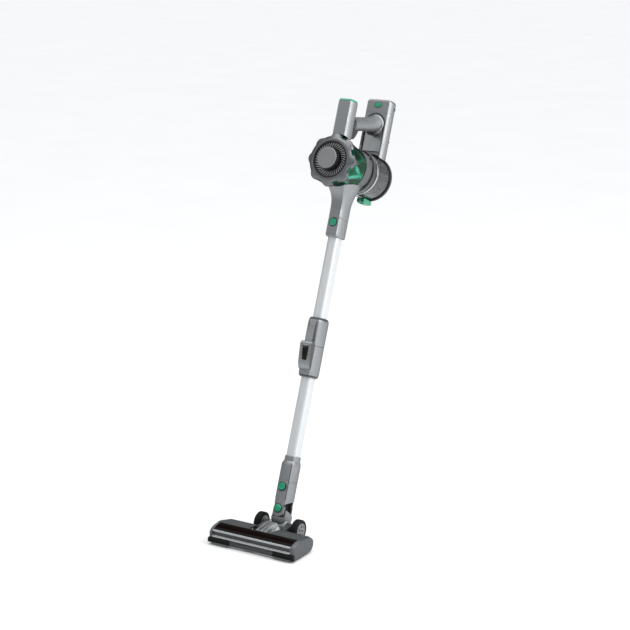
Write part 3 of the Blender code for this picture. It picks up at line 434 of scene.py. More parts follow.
def curve(points, steps):
    """A smooth line through points of any size, steps to a span."""
    made = []
    last = len(points) - 1
    for first in range(last):
        p = [points[min(max(first + k, 0), last)] for k in (-1, 0, 1, 2)]
        for step in range(steps):
            t = step / steps
            weights = (-0.5 * t + t * t - 0.5 * t ** 3, 1 - 2.5 * t * t + 1.5 * t ** 3,
                0.5 * t + 2 * t * t - 1.5 * t ** 3, -0.5 * t * t + 0.5 * t ** 3)
            made.append(tuple(sum(w * q[i] for w, q in zip(weights, p)) for i in range(len(points[0]))))
    return made + [tuple(points[-1])]


def loft(rings, closed=False):
    mesh = bmesh.new()
    rows = [[mesh.verts.new(point) for point in ring] for ring in rings]
    pairs = list(zip(rows, rows[1:]))
    if closed:
        pairs.append((rows[-1], rows[0]))
    count = len(rows[0])
    for low, high in pairs:
        for i in range(count):
            j = (i + 1) % count
            mesh.faces.new((low[i], low[j], high[j], high[i]))
    if not closed:
        mesh.faces.new(list(reversed(rows[0])))
        mesh.faces.new(rows[-1])
    return mesh


def extrude(outline, start, end):
    """A (y, z) outline carried along X."""
    return loft([[Vector((x, y, z)) for y, z in outline] for x in (start, end)])


def extrude_y(outline, start, end):
    """An (x, z) outline carried along Y."""
    return loft([[Vector((x, y, z)) for x, z in outline] for y in (start, end)])


def extrude_z(outline, start, end):
    """An (x, y) outline carried along Z."""
    return loft([[Vector((x, y, z)) for x, y in outline] for z in (start, end)])


def stack(outline_at, *rows):
    """The outlines that a section function draws for rows of its arguments."""
    return [outline_at(*row) for row in rows]


def turned(profile, steps=96):
    """A closed (radius, z) profile turned about Z."""
    mesh = bmesh.new()
    angles = [math.tau * step / steps for step in range(steps)]
    rows = []
    for radius, z in profile:
        ring = [(radius * math.cos(a), radius * math.sin(a), z) for a in (angles if radius else angles[:1])]
        rows.append([mesh.verts.new(point) for point in ring])
    for low, high in zip(rows, rows[1:] + rows[:1]):
        if len(low) + len(high) > 2:
            for i in range(steps):
                j = (i + 1) % steps
                corners = [low[i % len(low)], low[j % len(low)], high[j % len(high)], high[i % len(high)]]
                mesh.faces.new(list(dict.fromkeys(corners)))
    return mesh


def cylinder(radius, start, end, steps=64):
    return turned([(0, start), (radius, start), (radius, end), (0, end)], steps)


def pipe(radius, bore, start, end):
    return turned([(radius, start), (radius, end), (bore, end), (bore, start)])


def slab(x, y, z):
    """A block between two places on each axis."""
    return extrude([(y[0], z[0]), (y[1], z[0]), (y[1], z[1]), (y[0], z[1])], *x)


def box(half_x, y, z):
    return slab((-half_x, half_x), y, z)


def span(side, near, far):
    """From near to far on one side, low end first."""
    return sorted((side * near, side * far))


def along_x(mesh, y, z, x=0.0):
    mesh.transform(Matrix.Translation((x, y, z)) @ TO_X)
    return mesh


def along_y(mesh, x, z, y=0.0):
    mesh.transform(Matrix.Translation((x, y, z)) @ TO_Y)
    return mesh


def mirrored(mesh, axis):
    mesh.transform(Matrix.Scale(-1, 4, axis))
    return mesh


def moved(mesh, x=0.0, y=0.0):
    mesh.transform(Matrix.Translation((x, y, 0)))
    return mesh


def turn(mesh, degrees):
    mesh.transform(Matrix.Rotation(math.radians(degrees), 4, "Z"))
    return mesh


def together(*meshes):
    """Several separate shells as one mesh."""
    whole = bmesh.new()
    for mesh in meshes:
        data = bpy.data.meshes.new("part")
        mesh.to_mesh(data)
        whole.from_mesh(data)
        bpy.data.meshes.remove(data)
        mesh.free()
    return whole


def new_object(name, mesh):
    data = bpy.data.meshes.new(name)
    mesh.to_mesh(data)
    mesh.free()
    made = bpy.data.objects.new(name, data)
    bpy.context.collection.objects.link(made)
    return made


def combine(base, tool, operation):
    for mesh in (base, tool):
        bmesh.ops.recalc_face_normals(mesh, faces=mesh.faces)
    first, second = new_object("helper", base), new_object("helper", tool)
    modifier = first.modifiers.new("combine", "BOOLEAN")
    modifier.operation = operation
    modifier.object = second
    bpy.context.view_layer.update()
    graph = bpy.context.evaluated_depsgraph_get()
    result = bmesh.new()
    result.from_mesh(first.evaluated_get(graph).to_mesh())
    for helper in (first, second):
        data = helper.data
        bpy.data.objects.remove(helper)
        bpy.data.meshes.remove(data)
    return result


def cut(base, *tools):
    for tool in tools:
        base = combine(base, tool, "DIFFERENCE")
    return base


def join(base, *tools):
    for tool in tools:
        base = combine(base, tool, "UNION")
    return base


def overlap(base, tool):
    return combine(base, tool, "INTERSECT")


def soften(piece, width, angle, segments):
    """Rounded edges that catch the light, with normals that keep the flat faces flat."""
    if width:
        bevel = piece.modifiers.new("edges", "BEVEL")
        bevel.width = width * MM
        bevel.segments = segments
        bevel.limit_method = "ANGLE"
        bevel.angle_limit = math.radians(angle)
        bevel.harden_normals = True
        bevel.miter_outer = "MITER_ARC"
    normals = piece.modifiers.new("normals", "WEIGHTED_NORMAL")
    normals.keep_sharp = True


def piece(name, mesh, look, body, stands_for=(), slot=None, edge=0, angle=32, segments=3):
    """Make a mesh in its frame's millimetres into a named piece that rides on a body.

    A piece whose name ends in _fine stands for the CAD node of that name, unless stands_for says another.
    """
    bmesh.ops.remove_doubles(mesh, verts=mesh.verts, dist=0.001)
    bmesh.ops.recalc_face_normals(mesh, faces=mesh.faces)
    mesh.transform(Matrix.Scale(MM, 4))
    made = new_object(name, mesh)
    made.data.shade_smooth()
    if not edge:
        made.data.set_sharp_from_angle(angle=math.radians(angle))
    made.data.materials.append(LOOKS[look])
    made.matrix_world = FLOOR if body in FLOOR_BODIES else WAND
    soften(made, edge, angle, segments)
    if body:
        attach(made, body)
    if not stands_for and name.endswith("_fine"):
        stands_for = [name.removesuffix("_fine")]
    if stands_for:
        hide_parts(*stands_for)
    return made


def dark_trim_and_shade(name, mesh, body, look="charcoal_plastic", edge=0, angle=32):
    """A dark ring, line or plate let into one of the gunmetal parts; some of these are painted shade laid on
    a part.
    """
    piece(name, mesh, look, body, slot="gunmetal_plastic", edge=edge, angle=angle)


def bent_piece(name, mesh):
    """A hose in the wand frame, on no body, its place baked into its mesh."""
    made = piece(name, mesh, "black_rubber", None, angle=60)
    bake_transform(made)


# ---------------------------------------------------------------- motor unit
LOBES = 8
LOBE_STEPS = LOBES * 24
VANES = 38


def crosswise(mesh):
    """Lay a shape turned about Z along the motor unit's axis, its +Z to the rear."""
    return along_y(mesh, 0, BODY_Z)


def unit_ring(name, profile, look, body="main_unit", **more):
    """A piece turned about the motor unit's axis."""
    piece(name, crosswise(turned(profile)), look, body, **more)


def star_collar():
    """A ring with rounded lobes in front, and a pointed, ridged arm back from each lobe."""
    rings = []
    for step in range(LOBE_STEPS):
        angle = math.tau * step / LOBE_STEPS
        turns = LOBES * (angle - math.pi / 2)
        wave = 0.5 + 0.5 * math.cos(turns)
        point = abs((turns / math.tau + 0.5) % 1 - 0.5) * 2
        arm = max(0.0, 1 - point * 1.3)
        rear = -86.5 + 28 * arm
        rim = 56.4 + 7.1 * wave
        ridge = 57.0 + 1.9 * max(0.0, 1 - point * 2.0)
        outline = [(43.8, -88), (43.8, -91.2), (44.4, -92), (47.6, -92), (50, -91.4),
            (50 + (rim - 50) * 0.55, -88.6), (rim - 0.9, -84.6), (rim - 0.1, -81.6),
            (min(rim, 58.9 + 2.2 * wave), -81.2 + 5 * arm), (ridge + 0.5, max(rear - 5.0, -80.8 + 5 * arm)),
            (ridge, max(rear - 0.6, -80.5 + 5 * arm)), (ridge - 0.8, max(rear, -80.2 + 5 * arm)),
            (56.1, max(rear, -80 + 5 * arm)), (56, -76.3), (46.6, -76.3), (46.6, -88)]
        rings.append([Vector((r * math.cos(angle), r * math.sin(angle), z)) for r, z in outline])
    return loft(rings, closed=True)


def grille_blades():
    """Slanted vanes between the disc and the rim."""
    sections = ((28.6, (-0.5, 0.6, 0.4, -0.4), -88.8), (33.8, (1.2, 2.8, 2.6, 1.3), -89.4),
        (39.6, (4.2, 6.5, 6.3, 4.4), -90))
    rings = [[Vector((x, y, z)) for y, z in zip(ys, (-87.8, -87.8, tip, tip))] for x, ys, tip in sections]
    return together(*[turn(loft(rings), 360 * index / VANES) for index in range(VANES)])


def faceted_shell():
    """A tapered ring with two crossing sets of spiral flutes, sharp ridges between them."""
    levels = 28
    rings = []
    for level in range(levels + 1):
        along = level / levels
        depth = 3.6 * math.sin(math.pi * min(1.0, along * 1.04)) ** 0.8
        radius = 55.3 - 1.2 * along - 3.7 * along ** 2.4
        ring = []
        for step in range(LOBE_STEPS):
            angle = math.tau * step / LOBE_STEPS
            swing = LOBES * (angle - math.pi / 2) / 2
            one = abs(math.cos(swing + 1.9 * along))
            other = abs(math.cos(swing - 1.9 * along))
            reach = radius - depth * (1 - max(one, other) ** 1.5)
            z = -76 + (-8.6 + 76) * along
            ring.append(Vector((reach * math.cos(angle), reach * math.sin(angle), z)))
        rings.append(ring)
    for z, radius in ((-8.6, 47.0), (-76, 50.5)):
        angles = [math.tau * i / LOBE_STEPS for i in range(LOBE_STEPS)]
        rings.append([Vector((radius * math.cos(a), radius * math.sin(a), z)) for a in angles])
    return loft(rings, closed=True)


def build_exhaust():
    piece("star_collar_fine", crosswise(star_collar()), "collar_grey", "exhaust_cap", angle=28)
    inlay = turned([(50, -76.4), (50, -86.6), (56.3, -87.4), (57.3, -84.6), (57.6, -80), (56.6, -76.4)], 192)
    piece("collar_green_inlay", crosswise(inlay), "green_metallic", "exhaust_cap", angle=40)
    dish = [(25.9, -84.2), (25.9, -87.2), (27, -87.6), (38.6, -87.6), (39.6, -88.4), (40.2, -91.6),
        (41, -92.5), (42.6, -92.6), (43.2, -92), (43.2, -84.2)]
    unit_ring("grille_dish", dish, "black_plastic", "exhaust_cap", stands_for=["exhaust_grille"],
        slot="charcoal_plastic", edge=0.3)
    piece("grille_vanes", crosswise(grille_blades()), "vane_grey", "exhaust_cap", edge=0.12)
    unit_ring("grille_rim", [(42.8, -92.9), (43.6, -93.1), (44.1, -92.8), (44.1, -91.9), (42.8, -91.9)],
        "black_plastic", "exhaust_cap", slot="charcoal_plastic", edge=0.15)
    unit_ring("exhaust_disc_face", [(0, -109), (21.4, -109), (22, -108.7), (22.4, -109), (23.6, -108.9),
        (24.7, -108.3), (25, -107.4), (25, -106.9), (0, -106.9)], "gunmetal_flat", "exhaust_cap",
        stands_for=["exhaust_disc"], edge=0.2)
    # Painted shade: the disc's side wall is black for the shadow round the disc
    drum = turned([(0, -107), (25, -107), (25.6, -106.2), (25.6, -84), (0, -84)])
    dark_trim_and_shade("exhaust_disc_painted_shade_side", crosswise(drum), "exhaust_cap", look="black_plastic", edge=0.3)


def build_shell_and_filter():
    piece("shell_facets", crosswise(faceted_shell()), "green_metallic", "main_unit",
        stands_for=["body_shell"], angle=24)
    unit_ring("seal_ring_fine", [(44.6, -8.2), (50, -8.4), (50.9, -7.8), (51.1, -6.6), (50.7, -5.5),
        (49.6, -5.1), (44.6, -5.2)], "black_rubber")

    ring = turned([(49, -4.9), (49, 3), (48.3, 3.5), (48.3, 4.5), (49, 5), (49, 24.4), (48.2, 25.4),
        (48.2, 27.7), (18, 27.7), (18, 24.7), (45.5, 24.7), (45.5, -4.9)])
    mark = box(3.4, (12, 18), (BODY_Z - 60, BODY_Z - 46))
    mark.transform(Matrix.Translation((0, 0, BODY_Z)) @ Matrix.Rotation(math.radians(38), 4, "Y")
        @ Matrix.Translation((0, 0, -BODY_Z)))
    piece("cyclone_ring_fine", cut(crosswise(ring), mark), "speckled_grey", "main_unit", edge=0.3)
    unit_ring("mesh_shroud_fine", [(29, 28), (28.6, 40), (27.4, 78), (27, 84), (22, 86), (17, 86), (17, 83),
        (25, 82), (27.2, 28)], "perforated_steel", edge=0.3)
    for index, (z, radius) in enumerate(((30, 29.6), (57, 28.9), (83, 28.2))):
        band = turned([(radius, z), (radius + 0.6, z + 0.6), (radius + 0.6, z + 2), (radius, z + 2.6),
            (radius - 1.6, z + 2.6), (radius - 1.6, z)])
        piece("shroud_band_%d" % index, crosswise(band), "charcoal_plastic", "main_unit",
            slot="silver_plastic", edge=0.2)


def build_cup():
    unit_ring("dust_cup_fine", [(50.2, 28), (51.5, 28.6), (51.5, 111.8), (50.6, 113), (49.5, 113),
        (49.5, 28)], "smoke_clear")
    unit_ring("cup_trim_ring", [(51.6, 47.8), (52.7, 48), (53.2, 48.8), (53.2, 53), (52.7, 53.8),
        (51.6, 54)], "silver_trim")
    collar = turned([(51.6, 28.2), (53, 28.5), (53.4, 29.2), (53.4, 34.6), (53, 35.4), (51.6, 35.6)])
    dark_trim_and_shade("cup_collar", crosswise(collar), "main_unit")

    rim = turned([(47, 113.4), (54.6, 113.3), (55.2, 114), (55.2, 118), (54.6, 119.4), (52.6, 122.2),
        (51.4, 123), (48.4, 123), (47.4, 122.2), (47, 120.8)])
    lug = box(9, (115, 122), (BODY_Z + 50, 911))
    rim = join(crosswise(rim), lug, along_x(cylinder(3.2, -9, 9, 32), 118.5, 911))
    piece("cup_lid_rim", rim, "charcoal_plastic", "cup_lid", stands_for=["cup_lid"], slot="smoke_clear",
        edge=0.3)
    unit_ring("cup_lid_pane", [(0, 116.2), (46.9, 116.2), (46.9, 119.4), (44, 120.6), (20, 121.4),
        (19, 122.2), (0, 122.2)], "smoke_clear", "cup_lid")


def build_latch():
    latch = curve([(82, 798), (83.6, 792.4), (88, 789.7), (102, 789.3), (116, 789.6), (120.8, 791.6)], 6)
    latch += [(121.6, 799.9), (119.8, 799.9), (118.8, 798.8), (110, 799.2), (108, 801.9), (88, 801.9),
        (83, 800)]
    latch = cut(extrude(latch, -9.5, 9.5), box(6.4, (86, 98), (784, 790.8)),
        box(6.4, (106, 116), (784, 790.8)), box(7.5, (112, 125), (792.6, 797)))
    piece("lid_latch_fine", latch, "green_plastic", "lid_latch", edge=0.6)
    eyes = together(*[moved(box(2.4, (80.9, 84.6), (792.2, 797.4)), x) for x in (-6, 6)])
    piece("latch_front_insets", eyes, "black_plastic", "lid_latch", slot="green_plastic", edge=0.3)
    pads = together(box(6.1, (86.4, 97.6), (790.2, 792)), box(6.1, (106.4, 115.6), (790.2, 792)))
    piece("latch_grip_pads", pads, "black_rubber", "lid_latch", slot="green_plastic", edge=0.2)


# ---------------------------------------------------------------- handle
def upright_section(inset, z):
    return creased(20.5 - inset, 19.5 - inset, 15.5 - inset, z, -56.5, max(13 - inset, 2), 0.05)


def build_upright():
    rim = 999.4
    stations = [880] + [880 + step * 20 for step in range(1, 6)] + [rim - 3, rim]
    rings = [upright_section(0.35 if z == rim else 0, z) for z in stations]
    rings += stack(upright_section, (2.4, rim), (2.4, 880))
    bed = crosswise(turned([(0, -110), (63.6, -110), (63.6, -70), (60.2, -60), (60.2, 10), (0, 10)]))
    wire_hole = along_y(cylinder(9, -50, -38), 0, GRIP_FRONT[1])
    piece("front_upright_fine", cut(loft(rings, closed=True), bed, wire_hole), "gunmetal_plastic",
        "main_unit", edge=0.35)
    ring = loft(stack(upright_section, (0.5, rim + 0.3), (0.35, rim + 0.6), (0.7, 1001.4), (1.4, 1002.9),
        (2.4, 1004), (3.6, 1004.5), (4.3, 1004.2), (4.3, rim + 0.3)), closed=True)
    piece("upright_rim_fine", ring, "green_plastic", "main_unit")
    panel = loft(stack(upright_section, (4.5, rim - 1), (4.5, 1003.2), (4.9, 1003.7)))
    panel = cut(panel, moved(cylinder(5.3, rim - 10, 1010), y=SPEED_BUTTON_Y),
        moved(pipe(9.6, 9.0, 1003.3, 1005), y=SPEED_BUTTON_Y))
    piece("display_panel_fine", panel, "black_plastic", "main_unit", edge=0.2)
    lamps = [moved(turned([(0, 1003.5), (0.9, 1003.5), (0.9, 1003.9), (0, 1004)], 24), x, -66)
        for x in (-6, -2, 2, 6)]
    piece("panel_lamps", together(*lamps), "green_plastic", "main_unit")
    button = moved(turned([(0, 1000), (5, 1000), (5, 1004.6), (4.6, 1005.1), (3.4, 1005.2), (2.6, 1004.7),
        (0, 1004.6)]), y=SPEED_BUTTON_Y)
    piece("speed_button_fine", button, "green_plastic", "speed_button")


def build_grip():
    def between_ends(mesh):
        return overlap(mesh, box(60, (-36.7, 77.2), (880, 1040)))

    length = math.dist(GRIP_FRONT, GRIP_REAR)
    rise = math.atan2(GRIP_REAR[1] - GRIP_FRONT[1], GRIP_REAR[0] - GRIP_FRONT[0])
    grip_place = Matrix.Translation((0, *GRIP_FRONT)) @ Matrix.Rotation(rise, 4, "X") @ TO_Y
    profile = curve([(16.4, -14), (16.4, 4), (16.4, length - 60), (16.7, length - 44), (17.6, length - 28),
        (18.8, length - 16), (20.4, length - 6), (22.6, length + 3), (23.2, length + 12)], 5)
    grip = turned(profile + [(13.4, length + 12), (13.4, -14)])
    grip.transform(grip_place)
    grip = between_ends(grip)
    trigger_slot = box(8, (-36.4, 6), (900, 953))
    piece("grip_tube_fine", cut(grip, trigger_slot), "gunmetal_plastic", "main_unit", edge=0.6)
    collar = turned([(16.3, 0.4), (17.6, 0.8), (18.2, 2), (18.2, 5.2), (17.4, 6.6), (16.3, 7)])
    collar.transform(grip_place)
    collar = cut(between_ends(collar), box(8.2, (-38, 8), (900, 952.5)))
    dark_trim_and_shade("grip_collar", collar, "main_unit", edge=0.2)
    # A keel under the grip's rear, black as painted shade under the grip's flare at the dock
    keel = extrude([(46, 962.5), (58, 962), (76.8, 959), (76.8, 953.5), (66, 954.5), (54, 958.5)], -6.5, 6.5)
    piece("grip_keel_painted_shade", keel, "black_plastic", "main_unit", slot="charcoal_plastic", edge=1.2)

    outline = curve([(-35, 928), (-31, 922.5), (-24, 920), (-16, 922), (-9, 929), (-3, 939), (1, 949)], 5)
    trigger = extrude([(-35, 948)] + outline, -7.4, 7.4)
    piece("trigger_fine", trigger, "black_plastic", "trigger", edge=1.6, angle=28, segments=4)


def build_dock():
    flange = along_y(turned([(0, 77.4), (20, 77.4), (22.6, 77.8), (24.2, 78.9), (25, 80.6), (25, 84),
        (24.4, 84.6), (24.4, 85.4), (25, 86), (25, 90.6), (0, 90.6)]), 0, DOCK_Z)
    tongue = box(23.5, (86.5, 90.6), (918, DOCK_Z))
    piece("battery_dock_fine", cut(join(flange, tongue), along_y(cylinder(10, 70, 88), 0, DOCK_Z)),
        "gunmetal_light", "main_unit", edge=0.35)


def button_oval(half_x, half_z):
    """The battery button's outline, grown or shrunk."""
    angles = [math.tau * i / 64 for i in range(64)]
    return [(half_x * math.cos(a), BUTTON_Z + half_z * math.sin(a)) for a in angles]


def build_battery():
    def slice_at(z, inset=0.0, shoulder=0.0):
        wide = 35 - inset - shoulder
        return creased(wide, 16.5 - inset, wide - 5.5, z, 97.5, max(9 - inset, 2), 0.1)

    crown = [slice_at(1037 + 8 * math.sin(t), 2.6 * (1 - math.cos(t)), 5.4 * (1 - math.cos(t)))
        for t in (0, 0.26, 0.52, 0.79, 1.05, 1.31, 1.57)]
    case = loft([slice_at(z) for z in (880, 900, 940, 980, 1010, 1036)] + crown)
    cup_bed = crosswise(cylinder(57, 60, 130, 128))
    channel = extrude_y(arch(26.2, DOCK_Z, 870), 76, 91.4)
    step = extrude_y(arch(29.4, DOCK_Z, 870), 76, 81.9)
    hole = extrude_y(button_oval(10.4, 7), 70, 91)
    port = overlap(box(60, (99.2, 105.8), (1020.4, 1029.6)), moved(box(40, (90, 110), (1000, 1040)), x=72))
    line = loft(stack(slice_at, (1012.4, -1), (1013, -1), (1013, 0.5), (1012.4, 0.5)), closed=True)
    plate = extrude_y([(-24, 935), (24, 935), (24, 1018), (-24, 1018)], 113.4, 118)
    case = cut(case, cup_bed, channel, step, hole, port, line, plate)
    piece("battery_case_fine", case, "gunmetal_plastic", "battery", edge=0.5)
    # Painted shade: a dark grey arch round the dock's channel, where the battery's front lies in shade
    shade = cut(extrude_y(arch(29.2, DOCK_Z, 930), 81.5, 82), extrude_y(arch(26.4, DOCK_Z, 930), 76, 90))
    piece("battery_channel_painted_shade", shade, "cap_grey", "battery")
    liner = cut(extrude_y(button_oval(10.4, 7), 82.6, 90.6), extrude_y(button_oval(9.5, 6.1), 80, 95))
    dark_trim_and_shade("battery_button_liner", liner, "battery", look="black_plastic", edge=0.15)
    ovals = ((88.4, 9.3, 5.9), (80.6, 9.3, 5.9), (79.6, 9.0, 5.6), (79.0, 8.2, 4.9), (78.8, 6.6, 3.6))
    button = [[Vector((x, y, z)) for x, z in button_oval(wide, high)] for y, wide, high in ovals]
    piece("battery_button_fine", loft(button), "green_plastic", "battery_button",
        stands_for=["battery_release_button"])
    jack = slab((33.4, 34.4), (100.4, 104.6), (1021.6, 1028.4))
    dark_trim_and_shade("battery_port_contact", jack, "battery", look="black_plastic", edge=0.15)
    label = extrude_y([(-23.6, 935.4), (23.6, 935.4), (23.6, 1017.6), (-23.6, 1017.6)], 113.2, 113.7)
    dark_trim_and_shade("battery_back_plate", label, "battery", edge=0.1)
    screws = []
    for x, z in ((-29.5, 948), (29.5, 948), (-29.5, 1028), (29.5, 1028)):
        head = turned([(0, 0), (2.6, 0), (2.3, 0.7), (0, 1.0)], 32)
        head = cut(head, box(0.35, (-3, 3), (0.4, 2)), turn(box(0.35, (-3, 3), (0.4, 2)), 90))
        screws.append(along_y(head, x, z, 113.2))
    piece("battery_screws", together(*screws), "steel", "battery")


# ---------------------------------------------------------------- neck of the motor unit
def socket_section(inset, z, front=24.0, rear=24.0, wide=19.5):
    middle = (rear - front) / 2
    return creased(wide - inset, (front + rear) / 2 - inset, wide - 5.5 - inset, z, middle,
        max(12 - inset, 2), 0.1)


def push_button(z, face, depth, flange=True):
    """A dished round button with a soft edge."""
    profile = [(0, -2.5), (4.2, -2.7), (6.6, -3.2), (7.8, -3.1), (8.6, -2.5), (8.9, -1.6), (8.9, depth)]
    if flange:
        profile += [(9.9, depth), (9.9, depth + 1.6), (0, depth + 1.6)]
    else:
        profile += [(0, depth)]
    return along_y(turned(profile, 64), 0, z, face)


def button_ring(z, face):
    """A dark ring let in round a button."""
    return along_y(turned([(9.35, -0.5), (10.6, -0.5), (11.1, -0.1), (11.1, 2), (9.35, 2)], 64), 0, z, face)


def button_bed(z, depth):
    """Cutters for a round button's hole and for its ring's bed."""
    return [along_y(cylinder(radius, -30, end), 0, z) for radius, end in ((9.3, -10), (11.2, depth))]


def seam(outline_at, depth, low, high):
    """A cutter for a line round a housing."""
    return loft(stack(outline_at, (-1, low), (-1, high), (depth, high), (depth, low)), closed=True)


def build_socket():
    socket = loft([*stack(socket_section, (2.6, 686), (1.4, 686.3), (0.5, 687.4), (0, 690), (0, 700),
        (0, 715), (0, 729), (0.5, 730), (3, 730), (3, 702)), *stack(tube_section, (GAP, 702), (GAP, 686))],
        closed=True)
    trough = box(11, (-22, -16), (705, 735))
    lip = seam(socket_section, 0.4, 692.2, 692.8)
    piece("wand_socket_fine", cut(socket, *button_bed(WAND_BUTTON_Z, -22.2), trough, lip),
        "gunmetal_plastic", "main_unit", edge=0.3)
    piece("wand_button_fine", push_button(WAND_BUTTON_Z, -24, 2.4, False), "green_plastic", "wand_button",
        stands_for=["wand_release_button"])
    dark_trim_and_shade("wand_button_ring", button_ring(WAND_BUTTON_Z, -24), "main_unit", look="black_plastic")


def build_neck_housing():
    shape = curve(((730.4, 24, 24, 19.5), (745, 24, 24, 19.5), (760, 24.3, 24, 19.7),
        (774, 26.5, 25.5, 20.6), (786, 31, 28, 22.6), (797, 38.5, 30, 25.8), (808, 48, 31, 30),
        (822, 56, 31, 34.5), (838, 60, 31, 37)), 5)
    outer = [socket_section(0.5 if row == shape[0] else 0, *row) for row in shape]
    inner = [socket_section(3, *row) for row in reversed(shape)]
    bed = crosswise(turned([(0, -100), (59.4, -100), (59.4, -54), (55, -54), (51, -8.5), (51, 0), (49.6, 2),
        (49.6, 60), (0, 60)], 128))
    piece("neck_housing_fine", cut(loft(outer + inner, closed=True), bed), "gunmetal_plastic", "main_unit",
        edge=0.4)


# ---------------------------------------------------------------- wand
def tube_section(inset, z):
    return section(13.5 + inset, 17.5 + inset, 10.5 + inset, z, 12)


def wand_tube(start, end):
    return loft(stack(tube_section, (-0.3, start), (0, start + 0.3), (0, end - 0.3), (-0.3, end),
        (-1.2, end), (-1.2, start)), closed=True)


def fold_section(inset, z):
    return creased(20.7 - inset, 25.3 - inset, 14.2 - inset * 0.8, z, 0, max(15 - inset, 3), 0.05)


def fold_skin(rows):
    """A 0.6 mm skin on the fold housing, through rows of inset and height."""
    inner = [(inset + 0.6, z) for inset, z in reversed(rows)]
    return loft(stack(fold_section, *rows, *inner), closed=True)


def fold_bump():
    """The raised front of the lower fold housing, with two ears round the fold pin."""
    outline = curve([(-23, 368), (-27.5, 370), (-32, 377), (-35, 388), (-37.4, 404), (-39.7, 421)], 4)
    outline += arc(*FOLD_PIN, 6.8, 180, 0, 24) + [(-26.7, 425.6), (-23, 425.6)]
    bump = extrude(outline, -15.5, 15.5)
    slot = box(8.9, (-45, -25.5), (419.6, 440))
    pocket = box(5.6, (-45, -30), (389.3, 418.5))
    dish = box(8.2, (-45, -36.4), (386, 419.4))
    pin_bore = along_x(cylinder(2.8, -30, 30), *FOLD_PIN)
    return cut(bump, slot, dish, pocket, pin_bore)


def ribbed_hose(radius, bore, start, end, pitch):
    """A flexible hose with rounded rings."""
    count = int((end - start) / pitch)
    profile = []
    for ring in range(count):
        z = start + (end - start) * ring / count
        step = (end - start) / count
        profile += [(radius - 0.9, z), (radius - 0.2, z + step * 0.25), (radius, z + step * 0.5),
            (radius - 0.2, z + step * 0.75)]
    profile += [(radius - 0.9, end), (bore, end), (bore, start)]
    return turned(profile, 64)


def build_tubes():
    piece("lower_tube_fine", wand_tube(118, 398), "satin_aluminium", "lower_wand")
    piece("upper_tube_fine", wand_tube(455, 732), "satin_aluminium", "main_unit")


def build_fold_lower():
    lower = loft([*stack(fold_section, (5.4, 351), (3.6, 351.9), (2.0, 353.8), (0.9, 356.6), (0.25, 360),
        (0, 364), (0, 390), (0, 425), (0.5, 425.7), (3.2, 425.7), (3.2, 402)),
        *stack(tube_section, (GAP, 402), (GAP, 351))], closed=True)
    groove = seam(fold_section, 0.45, 363.2, 363.9)
    piece("fold_lower_fine", join(cut(lower, groove), fold_bump()), "gunmetal_plastic", "lower_wand",
        stands_for=["fold_lower_housing"], edge=0.7, angle=38)
    # Painted shade: dark walls on the bump's sides, for the shadow on its side faces
    side_wall = curve([(-24.5, 369), (-27.5, 370), (-32, 377), (-35, 388), (-37.4, 404), (-39.7, 421)], 4)
    side_wall += arc(*FOLD_PIN, 6.8, 180, 20, 20) + [(-24.5, 428)]
    shaded_walls = together(extrude(side_wall, 15.4, 15.8), extrude(side_wall, -15.8, -15.4))
    dark_trim_and_shade("fold_bump_sides", shaded_walls, "lower_wand", edge=0.15)


def build_fold_painted_shade():
    """Painted shade on each fold housing: a dark strip down its rear and a dark band round its end."""
    housings = (
        ("lower", "lower_wand",
            ((3.5, 351.9), (1.85, 353.8), (0.75, 356.6), (0.12, 360), (-0.1, 364), (-0.1, 424.5))),
        ("upper", "main_unit",
            ((-0.1, 427.5), (-0.1, 480), (0.15, 484), (0.8, 487.4), (1.9, 490.2), (3.5, 492.2))))
    for name, body, rows in housings:
        # Painted shade: dark skins where the housing's rear edge and rounded end turn away into shade
        rear_shade = overlap(fold_skin(rows), box(30, (9.8, 40), (340, 500)))
        dark_trim_and_shade("fold_%s_spine" % name, rear_shade, body, angle=30)
        band = fold_skin([row for row in rows if row[0] > 0.5])
        dark_trim_and_shade("fold_%s_end_band" % name, band, body, angle=30)


def build_fold_upper():
    upper = loft([*stack(fold_section, (0.5, 426.3), (0, 427), (0, 455), (0, 480), (0.25, 484), (0.9, 487.4),
        (2, 490.2), (3.6, 492.1), (5.4, 493)), *stack(tube_section, (GAP, 493), (GAP, 450)),
        *stack(fold_section, (3.2, 450), (3.2, 426.3))], closed=True)
    channel = extrude_z([(-10.4, -30), (10.4, -30), (10.4, -24.2), (-10.4, -24.2)], 430, 481)
    knuckle = along_x(cylinder(6.6, -8.6, 8.6), *FOLD_PIN)
    arm = curve([(-35.5, 430), (-33.8, 440), (-29.8, 460), (-27, 478), (-25, 486)], 4)
    arm = extrude([(-24, 429)] + arm + [(-24, 486)], -8, 8)
    pin_bore = along_x(cylinder(2.8, -30, 30), *FOLD_PIN)
    piece("fold_upper_fine", cut(join(cut(upper, channel), knuckle, arm), pin_bore), "gunmetal_plastic",
        "main_unit", stands_for=["fold_upper_housing"], edge=0.6, angle=38)
    pin = turned([(0, -15.3), (2, -15.3), (2.5, -14.8), (2.5, 14.8), (2, 15.3), (0, 15.3)], 48)
    piece("fold_pin_fine", along_x(pin, *FOLD_PIN), "steel", "lower_wand")


def build_fold_button():
    outline = curve([(-37.6, 390), (-39.4, 396), (-40.4, 404), (-41, 411), (-41.2, 417.8)], 3)
    button = extrude([(-34, 417.8), (-34, 390)] + outline, -5, 5)
    grooves = [box(4.2, (-45, -39.6 - 0.15 * i), (395 + 3.2 * i, 396.4 + 3.2 * i)) for i in range(7)]
    piece("fold_button_fine", cut(button, *grooves), "black_rubber", "fold_button",
        stands_for=["fold_release_button"], slot="black_plastic", edge=0.25)


# ---------------------------------------------------------------- neck
def neck_section(inset, z):
    return columned(18.5 - inset, 25 - inset, 12.6 - inset * 0.6, z, max(13 - inset, 3))


